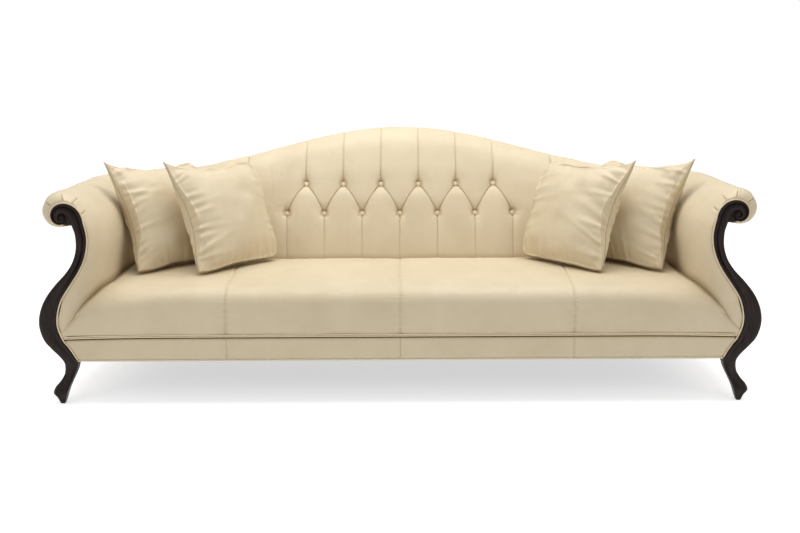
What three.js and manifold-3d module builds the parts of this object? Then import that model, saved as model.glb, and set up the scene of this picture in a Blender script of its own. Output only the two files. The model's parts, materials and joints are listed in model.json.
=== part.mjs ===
// Camelback sofa: carved S-shaped arm stumps, rolled arms that flow into a tufted camel back,
// one tight crowned seat and four loose pillows, on a hardwood frame.
// Millimetres. X runs along the sofa, the front faces -Y, and the floor is Z = 0.

import * as THREE from "three";
import { mergeVertices } from "three/addons/utils/BufferGeometryUtils.js";
import Module from "manifold-3d";

const wasm = await Module();
wasm.setup();

// Driving dimensions
const overall = { width: 2902, depth: 940, height: 1040 };
const halfWidth = overall.width / 2;
const frontY = -overall.depth / 2;
const rearY = overall.depth / 2;

// Gaps between pieces: wood to wood, fabric to its neighbour, padding to the frame, and a cover to the
// end of the roll. Last, how far a cutter runs past what it trims.
const fit = { joint: 0.35, seam: 0.5, loose: 2.5, tack: 4, overrun: 260 };

// The rolled arm and the corner, measured to the crest line that the whole top edge follows.
const arm = {
  height: 872, frontInset: 106, rearInset: 126, rollRadius: 74, roundingInside: 240, roundingRoll: 80,
};
const crestFront = halfWidth - arm.frontInset;
const crestRear = halfWidth - arm.rearInset;
const corner = { alongBack: 315, alongArm: 310 };
const seam = { panelHalf: 700, cornerShare: 0.5 };

// The camel back
const camel = { shoulder: 854, halfSpan: 1090, crestSetback: 60, rake: 285, padBottom: 400 };
const pad = { thickness: 34, sheet: 10 };

// The rows of buttons that the tufts are drawn to.
const tuft = {
  pitch: 171, upperCount: 6, lowerCount: 7, upperHeight: 800, lowerHeight: 672,
  depth: 24, spread: 30, foldDepth: 7, crown: 5, columnsPerPitch: 6, levels: 3,
};
const button = { radius: 11, thickness: 8, rim: 2.5 };

// The tight seat
const seat = {
  height: 474, crown: 18, faceTop: 405, frontInset: 6, bulge: 4, groove: 2, grooveHalf: 9,
  roundingCentre: 82, roundingEnd: 205, endRun: 420, reachBehind: 60, endShare: 0.333, dropShare: 0.96,
};

// The carved stumps: reach is how far the belly stands outside the neck.
const stump = { reach: 216, height: 820, depth: 55, grooveDepth: 5 };
const volute = {
  eyeInset: 122, eyeHeight: 768, radius: 80, shrinkShare: 0.68, recess: 8, depth: 50,
  beadWidth: 12, beadEnd: 6, beadRise: 8, beadInsetShare: 1.25, boss: 11, bossRise: 8,
};

// Degrees round the volute, from the side of the neck over the top: its rim, its welt and its bead.
const turnOf = { rimStart: -16, rimEnd: 285, weltStart: -10, beadStart: -14, beadEnd: 500 };

// The hardwood frame
const rail = { bottom: 184, height: 96, thickness: 30, sideOffset: 7.5 };
const tacking = { low: 400, high: 460, thickness: 24, forward: 1 };
const border = { bottom: 186, top: 273, thickness: 18, inset: 6 };
const post = { side: 44, setback: 64, splay: 58, sole: 30 };
const armRail = { low: 640, high: 700, thickness: 22, frontInset: 100, outset: 10 };
const armTop = { radius: 23 };
const crest = { inside: 50, outside: 15, height: 65, flat: 9, slope: 14, slopeInside: 42 };
const upright = { width: 60, thickness: 28, offsetShare: 0.276 };
const stretcher = { offsetShare: 0.324, thickness: 26, height: 62, scoop: 16 };
const block = { leg: 92, height: 70 };
const web = {
  width: 70, thickness: 2.4, rise: 3.2, gap: 0.4, clearShare: 0.625, rampShare: 1.4,
  spreadShare: 0.66, straps: 4, alongShares: [0.298, 0.585],
};
const cover = { thickness: 2, inset: 34 };

// Cords that edge the leather
const welt = { radius: 3.2, doubleRadius: 2.6, forward: 3, doubleHeight: 285, doubleDip: 6 };

// Loose pillows: turned towards the middle of the seat and leaning back against the arms.
const pillow = { size: 486, thickness: 184, pinch: 34, turn: 48, lean: 23, rest: 0.4, fullness: 0.42 };
const pillowInsets = { inner: [703, 442], outer: [444, 482] };

const colours = { leather: 0xdccaa4, wood: 0x2b1f1b, frame: 0xc9a878, jute: 0xb79a6a, cambric: 0x2a2a2c };

// General helpers
const radians = THREE.MathUtils.degToRad;
const lerp = THREE.MathUtils.lerp;
const clamp = THREE.MathUtils.clamp;
const smooth = (t) => THREE.MathUtils.smoothstep(t, 0, 1);
const vec = (x, y, z) => new THREE.Vector3(x, y, z);
const range = (count) => Array.from({ length: count }, (_, i) => i);
const spaced = (from, to, steps) => range(steps + 1).map((i) => lerp(from, to, i / steps));

// A smooth curve through control points of any dimension, t running from 0 to the last index.
function spline(points, t) {
  const last = points.length - 1;
  const i = Math.min(Math.floor(clamp(t, 0, last)), last - 1);
  const f = clamp(t, 0, last) - i;
  const b = points[i];
  const c = points[i + 1];
  const a = points[i - 1] ?? b.map((value, k) => 2 * value - c[k]);
  const d = points[i + 2] ?? c.map((value, k) => 2 * value - b[k]);
  return b.map((value, k) => {
    const m = (c[k] - a[k]) / 2;
    const n = (d[k] - value) / 2;
    return (
      (2 * f ** 3 - 3 * f ** 2 + 1) * value +
      (f ** 3 - 2 * f ** 2 + f) * m +
      (3 * f ** 2 - 2 * f ** 3) * c[k] +
      (f ** 3 - f ** 2) * n
    );
  });
}

// The parameter at which a rising function reaches a value.
function solve(func, value, low, high) {
  range(36).forEach(() => {
    const middle = (low + high) / 2;
    if (func(middle) < value) low = middle;
    else high = middle;
  });
  return (low + high) / 2;
}

function geometryOf(points, triangles) {
  const geometry = new THREE.BufferGeometry();
  geometry.setAttribute("position", new THREE.Float32BufferAttribute(points.flatMap((p) => p.toArray()), 3));
  geometry.setIndex(triangles.flat());
  return facingOut(geometry);
}

// Turns a closed surface round if its faces point inwards.
function facingOut(geometry) {
  const position = geometry.attributes.position;
  const index = geometry.index.array;
  const [a, b, c] = [vec(), vec(), vec()];
  let volume = 0;
  for (let i = 0; i < index.length; i += 3) {
    a.fromBufferAttribute(position, index[i]);
    b.fromBufferAttribute(position, index[i + 1]);
    c.fromBufferAttribute(position, index[i + 2]);
    volume += a.dot(b.cross(c));
  }
  if (volume < 0) {
    for (let i = 0; i < index.length; i += 3) {
      [index[i + 1], index[i + 2]] = [index[i + 2], index[i + 1]];
    }
  }
  return geometry;
}

// Triangles between two rows of vertex numbers that may hold different counts.
function zip(a, b) {
  const triangles = [];
  const [endA, endB] = [a.length - 1, b.length - 1];
  let [i, j] = [0, 0];
  while (i < endA || j < endB) {
    const stepA = j === endB || (i < endA && (i + 1) / endA <= (j + 1) / endB);
    triangles.push(stepA ? [a[i + 1], a[i], b[j]] : [a[i], b[j], b[j + 1]]);
    if (stepA) i += 1;
    else j += 1;
  }
  return triangles;
}

// A closed slab between two grids of points, whose borders are joined.
function slab(front, back, flipped = () => false) {
  const points = [...front.flat(), ...back.flat()];
  const start = front.length * front[0].length;
  const frontAt = (i, j) => i * front[0].length + j;
  const backAt = (i, j) => start + i * back[0].length + j;
  const triangles = [];
  for (const i of range(front.length - 1)) {
    for (const j of range(front[0].length - 1)) {
      const [a, b, c, d] = [frontAt(i, j), frontAt(i + 1, j), frontAt(i + 1, j + 1), frontAt(i, j + 1)];
      triangles.push(...(flipped(i, j) ? [[a, b, d], [b, c, d]] : [[a, b, c], [a, c, d]]));
    }
  }
  for (const i of range(back.length - 1)) {
    for (const j of range(back[0].length - 1)) {
      const [a, b, c, d] = [backAt(i, j), backAt(i + 1, j), backAt(i + 1, j + 1), backAt(i, j + 1)];
      triangles.push([a, c, b], [a, d, c]);
    }
  }
  const rim = (grid, at) => {
    const [m, n] = [grid.length - 1, grid[0].length - 1];
    return [
      range(m + 1).map((i) => at(i, 0)),
      range(n + 1).map((j) => at(m, j)),
      range(m + 1).map((i) => at(m - i, n)),
      range(n + 1).map((j) => at(0, n - j)),
    ];
  };
  const backRim = rim(back, backAt);
  rim(front, frontAt).forEach((side, k) => triangles.push(...zip(side, backRim[k])));
  return geometryOf(points, triangles);
}

// A closed solid through rings of points that all have the same count, with flat ends.
function loft(rings) {
  const count = rings[0].length;
  const points = rings.flat();
  const triangles = [];
  for (const i of range(rings.length - 1)) {
    for (const j of range(count)) {
      const next = (j + 1) % count;
      const [a, b] = [i * count + j, i * count + next];
      triangles.push([a, b, b + count], [a, b + count, a + count]);
    }
  }
  for (const [ring, turned] of [[0, true], [rings.length - 1, false]]) {
    const centre = rings[ring].reduce((sum, p) => sum.add(p), vec(0, 0, 0)).divideScalar(count);
    points.push(centre);
    for (const j of range(count)) {
      const [a, b] = [ring * count + j, ring * count + ((j + 1) % count)];
      triangles.push(turned ? [points.length - 1, b, a] : [points.length - 1, a, b]);
    }
  }
  return geometryOf(points, triangles);
}

function merged(geometry) {
  const bare = geometry.clone();
  bare.deleteAttribute("normal");
  bare.deleteAttribute("uv");
  return mergeVertices(bare, 1e-3);
}

function solidOf(geometry) {
  const closed = merged(geometry);
  return new wasm.Manifold(
    new wasm.Mesh({
      numProp: 3,
      vertProperties: closed.attributes.position.array,
      triVerts: new Uint32Array(closed.index.array),
    }),
  );
}

function geometryFrom(solid) {
  const mesh = solid.getMesh();
  const geometry = new THREE.BufferGeometry();
  geometry.setAttribute("position", new THREE.BufferAttribute(new Float32Array(mesh.vertProperties), 3));
  geometry.setIndex(new THREE.BufferAttribute(new Uint32Array(mesh.triVerts), 1));
  return geometry;
}

const trimmed = (piece, cutters) => cutters.map(solidOf).reduce((a, b) => a.subtract(b), solidOf(piece));

// What is left of a piece after cutting, without any offcuts.
function fittedTo(piece, cutters) {
  return geometryFrom(trimmed(piece, cutters).decompose().sort((a, b) => b.volume() - a.volume())[0]);
}

const joined = (...pieces) => geometryFrom(pieces.map(solidOf).reduce((a, b) => a.add(b)));
const cutBy = (piece, cutters) => geometryFrom(trimmed(piece, cutters));

// An outline in X and Y raised along Z.
function raised(outline, low, high) {
  const shape = new THREE.Shape(outline.map(([x, y]) => new THREE.Vector2(x, y)));
  return new THREE.ExtrudeGeometry(shape, { depth: high - low, bevelEnabled: false }).translate(0, 0, low);
}

// An outline in X and Z carried back along Y.
function carriedBack(outline, near, far) {
  const shape = new THREE.Shape(outline.map(([x, z]) => new THREE.Vector2(x, z)));
  const geometry = new THREE.ExtrudeGeometry(shape, { depth: far - near, bevelEnabled: false });
  return geometry.rotateX(Math.PI / 2).translate(0, far, 0);
}

// A round cord along a curve.
function cord(points, radius, sides, steps) {
  const ring = range(sides).map((i) => {
    const angle = (i / sides) * 2 * Math.PI;
    return new THREE.Vector2(radius * Math.cos(angle), radius * Math.sin(angle));
  });
  const extrudePath = new THREE.CatmullRomCurve3(points);
  return new THREE.ExtrudeGeometry(new THREE.Shape(ring), { steps, bevelEnabled: false, extrudePath });
}

// A round cord through points that all lie in the plane across a direction.
function tube(points, radius, sides, across) {
  return loft(points.map((point, i) => {
    const along = points[Math.min(i + 1, points.length - 1)].clone().sub(points[Math.max(i - 1, 0)]);
    const out = along.normalize().cross(across);
    return range(sides).map((k) => {
      const angle = (k / sides) * 2 * Math.PI;
      const [side, front] = [radius * Math.cos(angle), radius * Math.sin(angle)];
      return point.clone().addScaledVector(out, side).addScaledVector(across, front);
    });
  }));
}

const mirrored = (geometry) => facingOut(merged(geometry).scale(-1, 1, 1));

// The carved stump, seen from the front, drawn for the side with positive X.
// Each row pairs a point on the outer edge with one on the inner edge, from the sole to the volute:
// outer and inner reach from the neck, outer and inner height, then front and back inset.
const stumpShares = [
  [0.7, 0.62, 0, 0, 0.3, 0.25],
  [0.75, 0.588, 0.027, 0.024, 0.22, 0.2],
  [0.82, 0.551, 0.054, 0.056, 0.05, 0.12],
  [0.782, 0.505, 0.083, 0.085, 0.12, 0.12],
  [0.685, 0.444, 0.113, 0.118, 0.22, 0.12],
  [0.606, 0.38, 0.146, 0.151, 0.25, 0.1],
  [0.579, 0.333, 0.18, 0.183, 0.2, 0.05],
  [0.588, 0.315, 0.212, 0.215, 0.1, 0],
  [0.671, 0.375, 0.246, 0.249, 0.03, 0],
  [0.81, 0.472, 0.285, 0.291, 0, 0],
  [0.935, 0.574, 0.329, 0.329, 0, 0],
  [1, 0.657, 0.396, 0.4, 0, 0],
  [0.968, 0.634, 0.466, 0.47, 0, 0],
  [0.847, 0.542, 0.537, 0.538, 0, 0],
  [0.648, 0.37, 0.604, 0.606, 0, 0],
  [0.449, 0.208, 0.659, 0.668, 0, 0],
  [0.301, 0.088, 0.715, 0.728, 0, 0],
  [0.218, 0.023, 0.78, 0.787, 0, 0],
  [0.213, 0.005, 0.848, 0.844, 0, 0],
  [0.259, 0.032, 0.894, 0.893, 0, 0],
];
// Across the band from the outer to the inner edge, how far the surface lies behind the front face,
// as shares of the depth: a rounded outer arris, a full face, a groove and a bead along the inner edge.
const bandShares = [
  [0, 1], [0, 0.42], [0.05, 0.2], [0.16, 0.06], [0.34, 0], [0.58, 0.01],
  [0.74, 0.05], [0.84, 0.05], [0.92, 0.01], [1, 0.08], [1, 1],
];
const grooveShares = [0, 0, 0, 0, 0, 0.25, 0.9, 1, 0, 0, 0];
const neckX = halfWidth - stump.reach;

function stumpEdge(t) {
  const [outer, inner, outerUp, innerUp, front, back] = spline(stumpShares, t);
  return {
    outer: [neckX + outer * stump.reach, Math.max(outerUp, 0) * stump.height],
    inner: [neckX + inner * stump.reach, Math.max(innerUp, 0) * stump.height],
    front: frontY + Math.max(front, 0) * stump.depth,
    back: frontY + (1 - Math.max(back, 0)) * stump.depth,
  };
}

const stumpEnd = stumpShares.length - 1;
const stumpRows = spaced(0, stumpEnd, stumpEnd * 2).map(stumpEdge);

// The rows above the sole, from which the stump has its full outline.
const ankleRow = 2;

// The stump's inner edge from the ankle to the volute, a gap away from it.
function innerEdge(gap) {
  const edge = stumpRows.slice(ankleRow).map(({ inner }) => inner);
  return edge.map(([x, z], i) => {
    const [before, after] = [edge[Math.max(i - 1, 0)], edge[Math.min(i + 1, edge.length - 1)]];
    const length = Math.hypot(after[0] - before[0], after[1] - before[1]);
    return [x - (gap * (after[1] - before[1])) / length, z + (gap * (after[0] - before[0])) / length];
  });
}

// How far out that edge lies at a height.
function innerEdgeX(z, gap = 0) {
  const edge = innerEdge(gap);
  const i = clamp(edge.findIndex((point) => point[1] > z), 1, edge.length - 1);
  const [a, b] = [edge[i - 1], edge[i]];
  return lerp(a[0], b[0], (z - a[1]) / (b[1] - a[1]));
}

// The volute's rim is a spiral: degrees run from the side of the neck over the top to the outside.
const volutePlace = [halfWidth - volute.eyeInset, volute.eyeHeight];
function voluteRim(degrees, inset = 0) {
  const radius = volute.radius * volute.shrinkShare ** (degrees / 90) - inset;
  const angle = radians(degrees);
  return [volutePlace[0] - radius * Math.cos(angle), volutePlace[1] + radius * Math.sin(angle)];
}

const rimDegrees = spaced(turnOf.rimStart, turnOf.rimEnd, 20);

// The groove starts at this share of the stump's length and is at full depth after the next.
const grooveStartShare = 0.62;
const grooveFadeShare = 0.25;

function stumpBand() {
  return stumpRows.map(({ outer, inner, front, back }, i) => {
    const along = i / (stumpRows.length - 1);
    const groove = stump.grooveDepth * smooth((along - grooveStartShare) / grooveFadeShare);
    return bandShares.map(([across, behind], k) =>
      vec(
        lerp(outer[0], inner[0], across),
        lerp(front, back, behind) + groove * grooveShares[k],
        lerp(outer[1], inner[1], across),
      ),
    );
  });
}

function voluteDisc() {
  const { outer, inner } = stumpEdge(stumpEnd);
  const below = stumpEdge(stumpEnd - 1);
  const rim = rimDegrees.map((degrees) => voluteRim(degrees));
  const throat = [outer[0] + volute.beadWidth, voluteRim(turnOf.rimEnd)[1] + volute.beadRise / 2];
  const outline = [below.inner, inner, ...rim, throat, outer, below.outer];
  return carriedBack(outline, frontY + volute.recess, frontY + volute.depth);
}

// The raised bead follows the neck's inner edge over its last rows and winds on to the eye. Its section
// is in shares of its half width and of its rise.
const beadRows = 3;
const beadLead = 0.4;
const beadFade = 1.6;
const beadShares = [[-1, -1], [-1, 0.2], [-0.55, 0.85], [0, 1], [0.55, 0.85], [1, 0.2], [1, -1]];

function voluteBead() {
  const neck = spaced(stumpEnd - beadRows, stumpEnd, 5).map((t) => {
    const { inner, outer } = stumpEdge(t);
    const share = volute.beadWidth / 2 / Math.hypot(outer[0] - inner[0], outer[1] - inner[1]);
    const point = [lerp(inner[0], outer[0], share), lerp(inner[1], outer[1], share)];
    return { point, half: (volute.beadWidth / 2) * smooth((t - stumpEnd + beadRows + beadLead) / beadFade) };
  });
  const coil = spaced(turnOf.beadStart, turnOf.beadEnd, 28).map((degrees) => {
    const half = lerp(volute.beadWidth, volute.beadEnd, clamp(degrees / turnOf.beadEnd, 0, 1)) / 2;
    return { point: voluteRim(degrees, half * volute.beadInsetShare), half };
  });
  const path = [...neck, ...coil];
  const face = frontY + volute.recess;
  return loft(
    path.map(({ point, half }, i) => {
      const before = path[Math.max(i - 1, 0)].point;
      const after = path[Math.min(i + 1, path.length - 1)].point;
      const length = Math.hypot(after[0] - before[0], after[1] - before[1]);
      const side = [-(after[1] - before[1]) / length, (after[0] - before[0]) / length];
      const rise = (volute.beadRise * half) / (volute.beadWidth / 2);
      return beadShares.map(([a, b]) => {
        const y = face - (b < 0 ? -volute.recess : b * rise);
        return vec(point[0] + side[0] * a * half, y, point[1] + side[1] * a * half);
      });
    }),
  );
}

function voluteBoss() {
  const dome = spaced(0, 90, 4).map((degrees) => {
    const angle = radians(degrees);
    const across = degrees === 90 ? 0 : volute.boss * Math.cos(angle);
    return new THREE.Vector2(across, volute.bossRise * Math.sin(angle));
  });
  const root = [new THREE.Vector2(0, -volute.recess), new THREE.Vector2(volute.boss, -volute.recess)];
  const turned = new THREE.LatheGeometry([...root, ...dome], 12).rotateX(Math.PI);
  return facingOut(merged(turned)).translate(volutePlace[0], frontY + volute.recess, volutePlace[1]);
}

function armStump() {
  return joined(loft(stumpBand()), voluteDisc(), voluteBead(), voluteBoss());
}

// The crest line in plan: p is the distance along it from the middle of the back, positive to +X.
const crestY = rearY - camel.crestSetback;
const backRun = crestRear - corner.alongBack;
const cornerRun = (Math.PI / 4) * (corner.alongBack + corner.alongArm);
const cornerStartY = crestY - corner.alongArm;
const padFrontY = frontY + welt.forward + 2 * welt.radius + fit.seam;
const armRun = cornerStartY - padFrontY;
const crestRun = backRun + cornerRun + armRun;
const seamRun = backRun + cornerRun * seam.cornerShare;

function planPoint(p) {
  const along = Math.abs(p);
  const side = p < 0 ? -1 : 1;
  const angle = (clamp((along - backRun) / cornerRun, 0, 1) * Math.PI) / 2;
  const past = Math.max(along - backRun - cornerRun, 0);
  const splay = ((crestFront - crestRear) * past) / armRun;
  const straight = Math.min(along, backRun);
  const x = straight + corner.alongBack * Math.sin(angle) + splay;
  const y = crestY - corner.alongArm * (1 - Math.cos(angle)) - past;
  const [nx, ny] = [Math.sin(angle) / corner.alongBack, Math.cos(angle) / corner.alongArm];
  const length = Math.hypot(nx, ny);
  return { x: side * x, y, nx: (side * nx) / length, ny: ny / length };
}

// A point outward from the crest line at a height.
function place(p, outward, z) {
  const { x, y, nx, ny } = planPoint(p);
  return vec(x + nx * outward, y + ny * outward, z);
}

// How much of the section is the arm's and not the back's: the change starts at a share of the back.
const blendShare = 0.85;
const blendRun = cornerRun + backRun * (1 - blendShare);
const armShare = (p) => smooth((Math.abs(p) - backRun * blendShare) / blendRun);

function crestHeight(p) {
  const along = Math.abs(p);
  const bell = (1 + Math.cos((Math.PI * Math.min(along, camel.halfSpan)) / camel.halfSpan)) / 2;
  const hump = overall.height - tuft.crown - camel.shoulder;
  return lerp(camel.shoulder, arm.height, armShare(p)) + hump * bell;
}

// Sections of the padding, from the bottom of the inside face over the crest to the end of the roll:
// distance out from the crest line, then height. The arm's heights are shares of the arm's height
// and its distances shares of the roll's radius.
const armSectionShares = [
  [-1.47, 0.335], [-1.66, 0.42], [-1.9, 0.52], [-2.1, 0.64], [-2.2, 0.745], [-1.98, 0.837],
  [-1.36, 0.923], [-0.68, 0.98], [0, 1], [0.61, 0.984], [0.98, 0.935], [1, 0.889],
  [0.68, 0.846], [0.1, 0.83], [-0.6, 0.837],
];
// The back's distances are shares of its rake, and its heights run from the pad's bottom, share 0, to
// the crest, share 1, and then down behind it in shares of the crest's setback.
const backFaceShares = [
  [-1, 0], [-0.955, 0.09], [-0.895, 0.212], [-0.815, 0.348], [-0.72, 0.485], [-0.6, 0.621],
  [-0.455, 0.768], [-0.25, 0.925], [0, 1],
];
const backRollShares = [[0.66, 0.26], [0.93, 0.8], [0.937, 1.35], [0.84, 1.9], [0.77, 2.4], [0.72, 2.85]];
const sectionEnd = armSectionShares.length - 1;
const crestPlace = backFaceShares.length - 1;

function sectionControls(p) {
  const top = crestHeight(p);
  const share = armShare(p);
  const back = [
    ...backFaceShares.map(([out, up]) => [out * camel.rake, lerp(camel.padBottom, top, up)]),
    ...backRollShares.map(([out, down]) => [out * camel.crestSetback, top - down * camel.crestSetback]),
  ];
  return armSectionShares.map(([out, up], k) => [
    lerp(back[k][0], out * arm.rollRadius, share),
    lerp(back[k][1], up * top, share),
  ]);
}

// The stump's rim that the front edge of the arm's padding starts from, one point for each control.
const rimHeightShares = [0.354, 0.42, 0.55, 0.665, 0.775, 0.854];
const rimAngles = [-12, 35, 80, 120, 165, 190, 215, 245, 285];
function rimControls(side, gap) {
  const start = planPoint(side * crestRun).x * side;
  const edge = rimHeightShares.map((share) => {
    const z = share * stump.height;
    return [innerEdgeX(z, gap) - start, z];
  });
  const coil = rimAngles.map((degrees) => {
    const [x, z] = voluteRim(degrees, -gap);
    return [x - start, z];
  });
  return [...edge, ...coil];
}

const rimCache = new Map();
function rimPoint(gap, v) {
  if (!rimCache.has(gap)) rimCache.set(gap, rimControls(1, gap));
  return spline(rimCache.get(gap), v);
}

const weltGap = welt.radius + 3 * fit.joint;
const rimGap = weltGap + welt.radius + 3 * fit.seam;

// Between these places of the section the front's rounding changes from the inside's to the roll's.
const roundingFrom = 4;
const roundingOver = 3;
const roundingPower = 1.15;

// The step over which a surface's direction is measured, along the crest and along the section.
const probe = { along: 0.5, rows: 0.05 };

// The leather's surface, v running over the section: the front edge rounds forward to the stump's rim.
function skin(p, v) {
  const [outward, z] = spline(sectionControls(p), v);
  const depth = crestRun - Math.abs(p);
  const reach = lerp(arm.roundingInside, arm.roundingRoll, smooth((v - roundingFrom) / roundingOver));
  if (depth >= reach) return place(p, outward, z);
  const forward = clamp(1 - depth / reach, 0, 1);
  const share = Math.sqrt(1 - forward * forward) ** roundingPower;
  const [rimOut, rimZ] = rimPoint(rimGap, v);
  return place(p, lerp(rimOut, outward, share), lerp(rimZ, z, share));
}

// The side of the padding that faces the frame.
function lining(p, v, thickness = pad.thickness) {
  const depth = crestRun - Math.abs(p);
  const behind = stump.depth + fit.loose;
  if (depth < behind) {
    const [rimOut, rimZ] = rimPoint(welt.radius + fit.seam, v);
    return place(p, rimOut, rimZ);
  }
  const { nx, ny } = planPoint(p);
  const inwards = skinNormal(p, v).projectOnPlane(vec(-ny, nx, 0)).normalize();
  return skin(p, v).addScaledVector(inwards, -thickness);
}

function skinNormal(p, v) {
  const across = skin(p + probe.along, v).sub(skin(p - probe.along, v));
  const [low, high] = [Math.max(v - probe.rows, 0), Math.min(v + probe.rows, sectionEnd)];
  const up = skin(p, high).sub(skin(p, low));
  return across.cross(up).normalize();
}

// The rows that the padding's sections are sampled at.
const sectionRows = spaced(0, sectionEnd, 18);
const liningRows = spaced(0, sectionEnd, 12);

// Stations near the front edge, as shares of the rounding there.
const frontShares = [0, 0.012, 0.038, 0.083, 0.167, 0.29, 0.46, 0.71];
const halfSeam = fit.seam / 2;

function grids(stations, rows, backStations, backRows, grow) {
  return [
    stations.map((p) => rows.map((v) => skin(p, v))),
    backStations.map((p) => backRows.map((v) => lining(p, v, pad.thickness + grow))),
  ];
}

// The stump's silhouette, grown by the joint and carried back through its depth.
function stumpEnvelope(side) {
  const rim = rimDegrees.map((degrees) => voluteRim(degrees, -fit.seam));
  const outer = stumpRows.slice(ankleRow).map((row) => row.outer).reverse();
  const outline = [...innerEdge(fit.seam), ...rim, ...outer].map(([x, z]) => [side * x, z]);
  return carriedBack(outline, frontY - fit.overrun, frontY + stump.depth + fit.joint);
}

function armStations(side) {
  const rounding = frontShares.map((share) => crestRun - share * arm.roundingInside);
  const along = spaced(crestRun - arm.roundingInside, seamRun + halfSeam, 6);
  return [...rounding, ...along].map((p) => side * p);
}

function insideArm(side, grow = 0) {
  const behind = crestRun - stump.depth - fit.loose;
  const backStations = [
    crestRun, behind + halfSeam, behind - halfSeam, ...spaced(behind, seamRun + halfSeam - grow, 5).slice(1),
  ];
  const few = backStations.map((p) => side * p);
  const whole = slab(...grids(armStations(side), sectionRows, few, liningRows, grow));
  return cutBy(whole, [stumpEnvelope(side)]);
}

function insideWing(side, grow = 0) {
  const [far, near] = [seamRun - halfSeam + grow, seam.panelHalf + halfSeam - grow];
  const stations = spaced(far, near, 9).map((p) => side * p);
  const few = spaced(far, near, 5).map((p) => side * p);
  return slab(...grids(stations, sectionRows, few, liningRows, grow));
}

// The tufted middle panel: its columns share the pitch evenly, so that folds run along its edges.
const column = tuft.pitch / tuft.columnsPerPitch;
const halfColumns = Math.floor((seam.panelHalf - column / 4) / column);
const lowerSpots = range(tuft.lowerCount).map((i) => (i - (tuft.lowerCount - 1) / 2) * tuft.pitch);
const upperSpots = range(tuft.upperCount).map((i) => (i - (tuft.upperCount - 1) / 2) * tuft.pitch);
const buttonSpots = [
  ...upperSpots.map((x) => [x, tuft.upperHeight]),
  ...lowerSpots.map((x) => [x, tuft.lowerHeight]),
];
const foldWidth = column / 2;
const nearest = (spots, x) => Math.min(...spots.map((spot) => Math.abs(spot - x)));

// The section parameter at which the inside face reaches a height.
const rowAt = (p, z) => solve((v) => spline(sectionControls(p), v)[1], z, 0, crestPlace);

function foldDistance(x, z) {
  const up = (z - tuft.lowerHeight) / (tuft.upperHeight - tuft.lowerHeight);
  if (up <= 0) return nearest(lowerSpots, x);
  if (up >= 1) return nearest(upperSpots, x);
  const half = (up * tuft.pitch) / 2;
  const edge = (tuft.upperCount / 2) * tuft.pitch;
  const rising = lowerSpots.flatMap((spot) => [spot - half, spot + half]).filter((at) => Math.abs(at) < edge);
  return nearest(rising, x) * Math.cos(Math.atan(tuft.pitch / 2 / (tuft.upperHeight - tuft.lowerHeight)));
}

// How far the leather is drawn in, or stands out between the folds.
function tuftInset(x, z, v) {
  const away = Math.min(...buttonSpots.map(([spot, height]) => Math.hypot(spot - x, height - z)));
  const distance = v > crestPlace ? nearest(upperSpots, x) : foldDistance(x, z);
  const fade = 1 - smooth((v - crestPlace) / (sectionEnd - crestPlace));
  const edge = smooth((seam.panelHalf - Math.abs(x)) / (2 * column));
  const fold = Math.exp(-((distance / foldWidth) ** 2));
  const dimple = Math.exp(-((away / tuft.spread) ** 2));
  const relief = tuft.foldDepth * fold - tuft.crown * (1 - fold);
  return edge * fade * relief + (tuft.depth - tuft.foldDepth) * dimple;
}

function tuftedPoint(p, v) {
  const point = skin(p, v);
  return point.addScaledVector(skinNormal(p, v), -tuftInset(p, point.z, v));
}

function tuftedRows(p) {
  const low = spaced(camel.padBottom, tuft.lowerHeight, tuft.levels);
  const middle = spaced(tuft.lowerHeight, tuft.upperHeight, tuft.levels).slice(1);
  const levels = [...low, ...middle].map((z) => (z === camel.padBottom ? 0 : rowAt(p, z)));
  const over = spaced(levels[levels.length - 1], crestPlace, 3).slice(1);
  return [...levels, ...over, ...spaced(crestPlace, sectionEnd, 4).slice(1)];
}

const columnPlaces = [
  -seam.panelHalf + halfSeam,
  ...spaced(-halfColumns * column, halfColumns * column, 2 * halfColumns),
  seam.panelHalf - halfSeam,
];

function buttonPlace(x, z) {
  const v = rowAt(x, z);
  const out = skinNormal(x, v);
  return { at: tuftedPoint(x, v), out };
}

function buttonShape(grow, length) {
  const { thickness, rim } = button;
  const radius = grow ? button.radius / Math.cos(Math.PI / 8) : button.radius;
  const dome = spaced(0, 90, 2).map((degrees) => {
    const angle = radians(degrees);
    const across = degrees === 90 ? 0 : (radius + grow) * Math.cos(angle);
    return new THREE.Vector2(across, rim + (thickness - rim) * Math.sin(angle));
  });
  const straight = [new THREE.Vector2(radius + grow, length), new THREE.Vector2(0, length)];
  const outline = [
    new THREE.Vector2(0, -grow), new THREE.Vector2(radius + grow, -grow), ...(grow ? straight : dome),
  ];
  return facingOut(merged(new THREE.LatheGeometry(outline, grow ? 8 : 10)));
}

function placedButton(x, z, grow = 0) {
  const { at, out } = buttonPlace(x, z);
  const turn = new THREE.Quaternion().setFromUnitVectors(vec(0, 1, 0), out);
  return buttonShape(grow, pad.thickness).applyQuaternion(turn).translate(at.x, at.y, at.z);
}

function panelStations(grow) {
  const reach = seam.panelHalf - halfSeam + grow;
  return spaced(-reach, reach, 10);
}

const panelLining = (grow) =>
  panelStations(grow).map((p) => liningRows.map((v) => lining(p, v, pad.thickness + grow)));

function tuftedPanel() {
  const front = columnPlaces.map((p) => tuftedRows(p).map((v) => tuftedPoint(p, v)));
  // Between the rows of buttons the folds rise and fall in turn, and the triangles follow them.
  const { columnsPerPitch: pitch, levels } = tuft;
  const falls = (i) => (((i - 1 - halfColumns) % pitch) + pitch) % pitch >= pitch / 2;
  const flipped = (i, j) => j >= levels && j < 2 * levels && falls(i);
  const wells = buttonSpots.map(([x, z]) => placedButton(x, z, fit.joint));
  return cutBy(slab(front, panelLining(0), flipped), wells);
}

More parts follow.
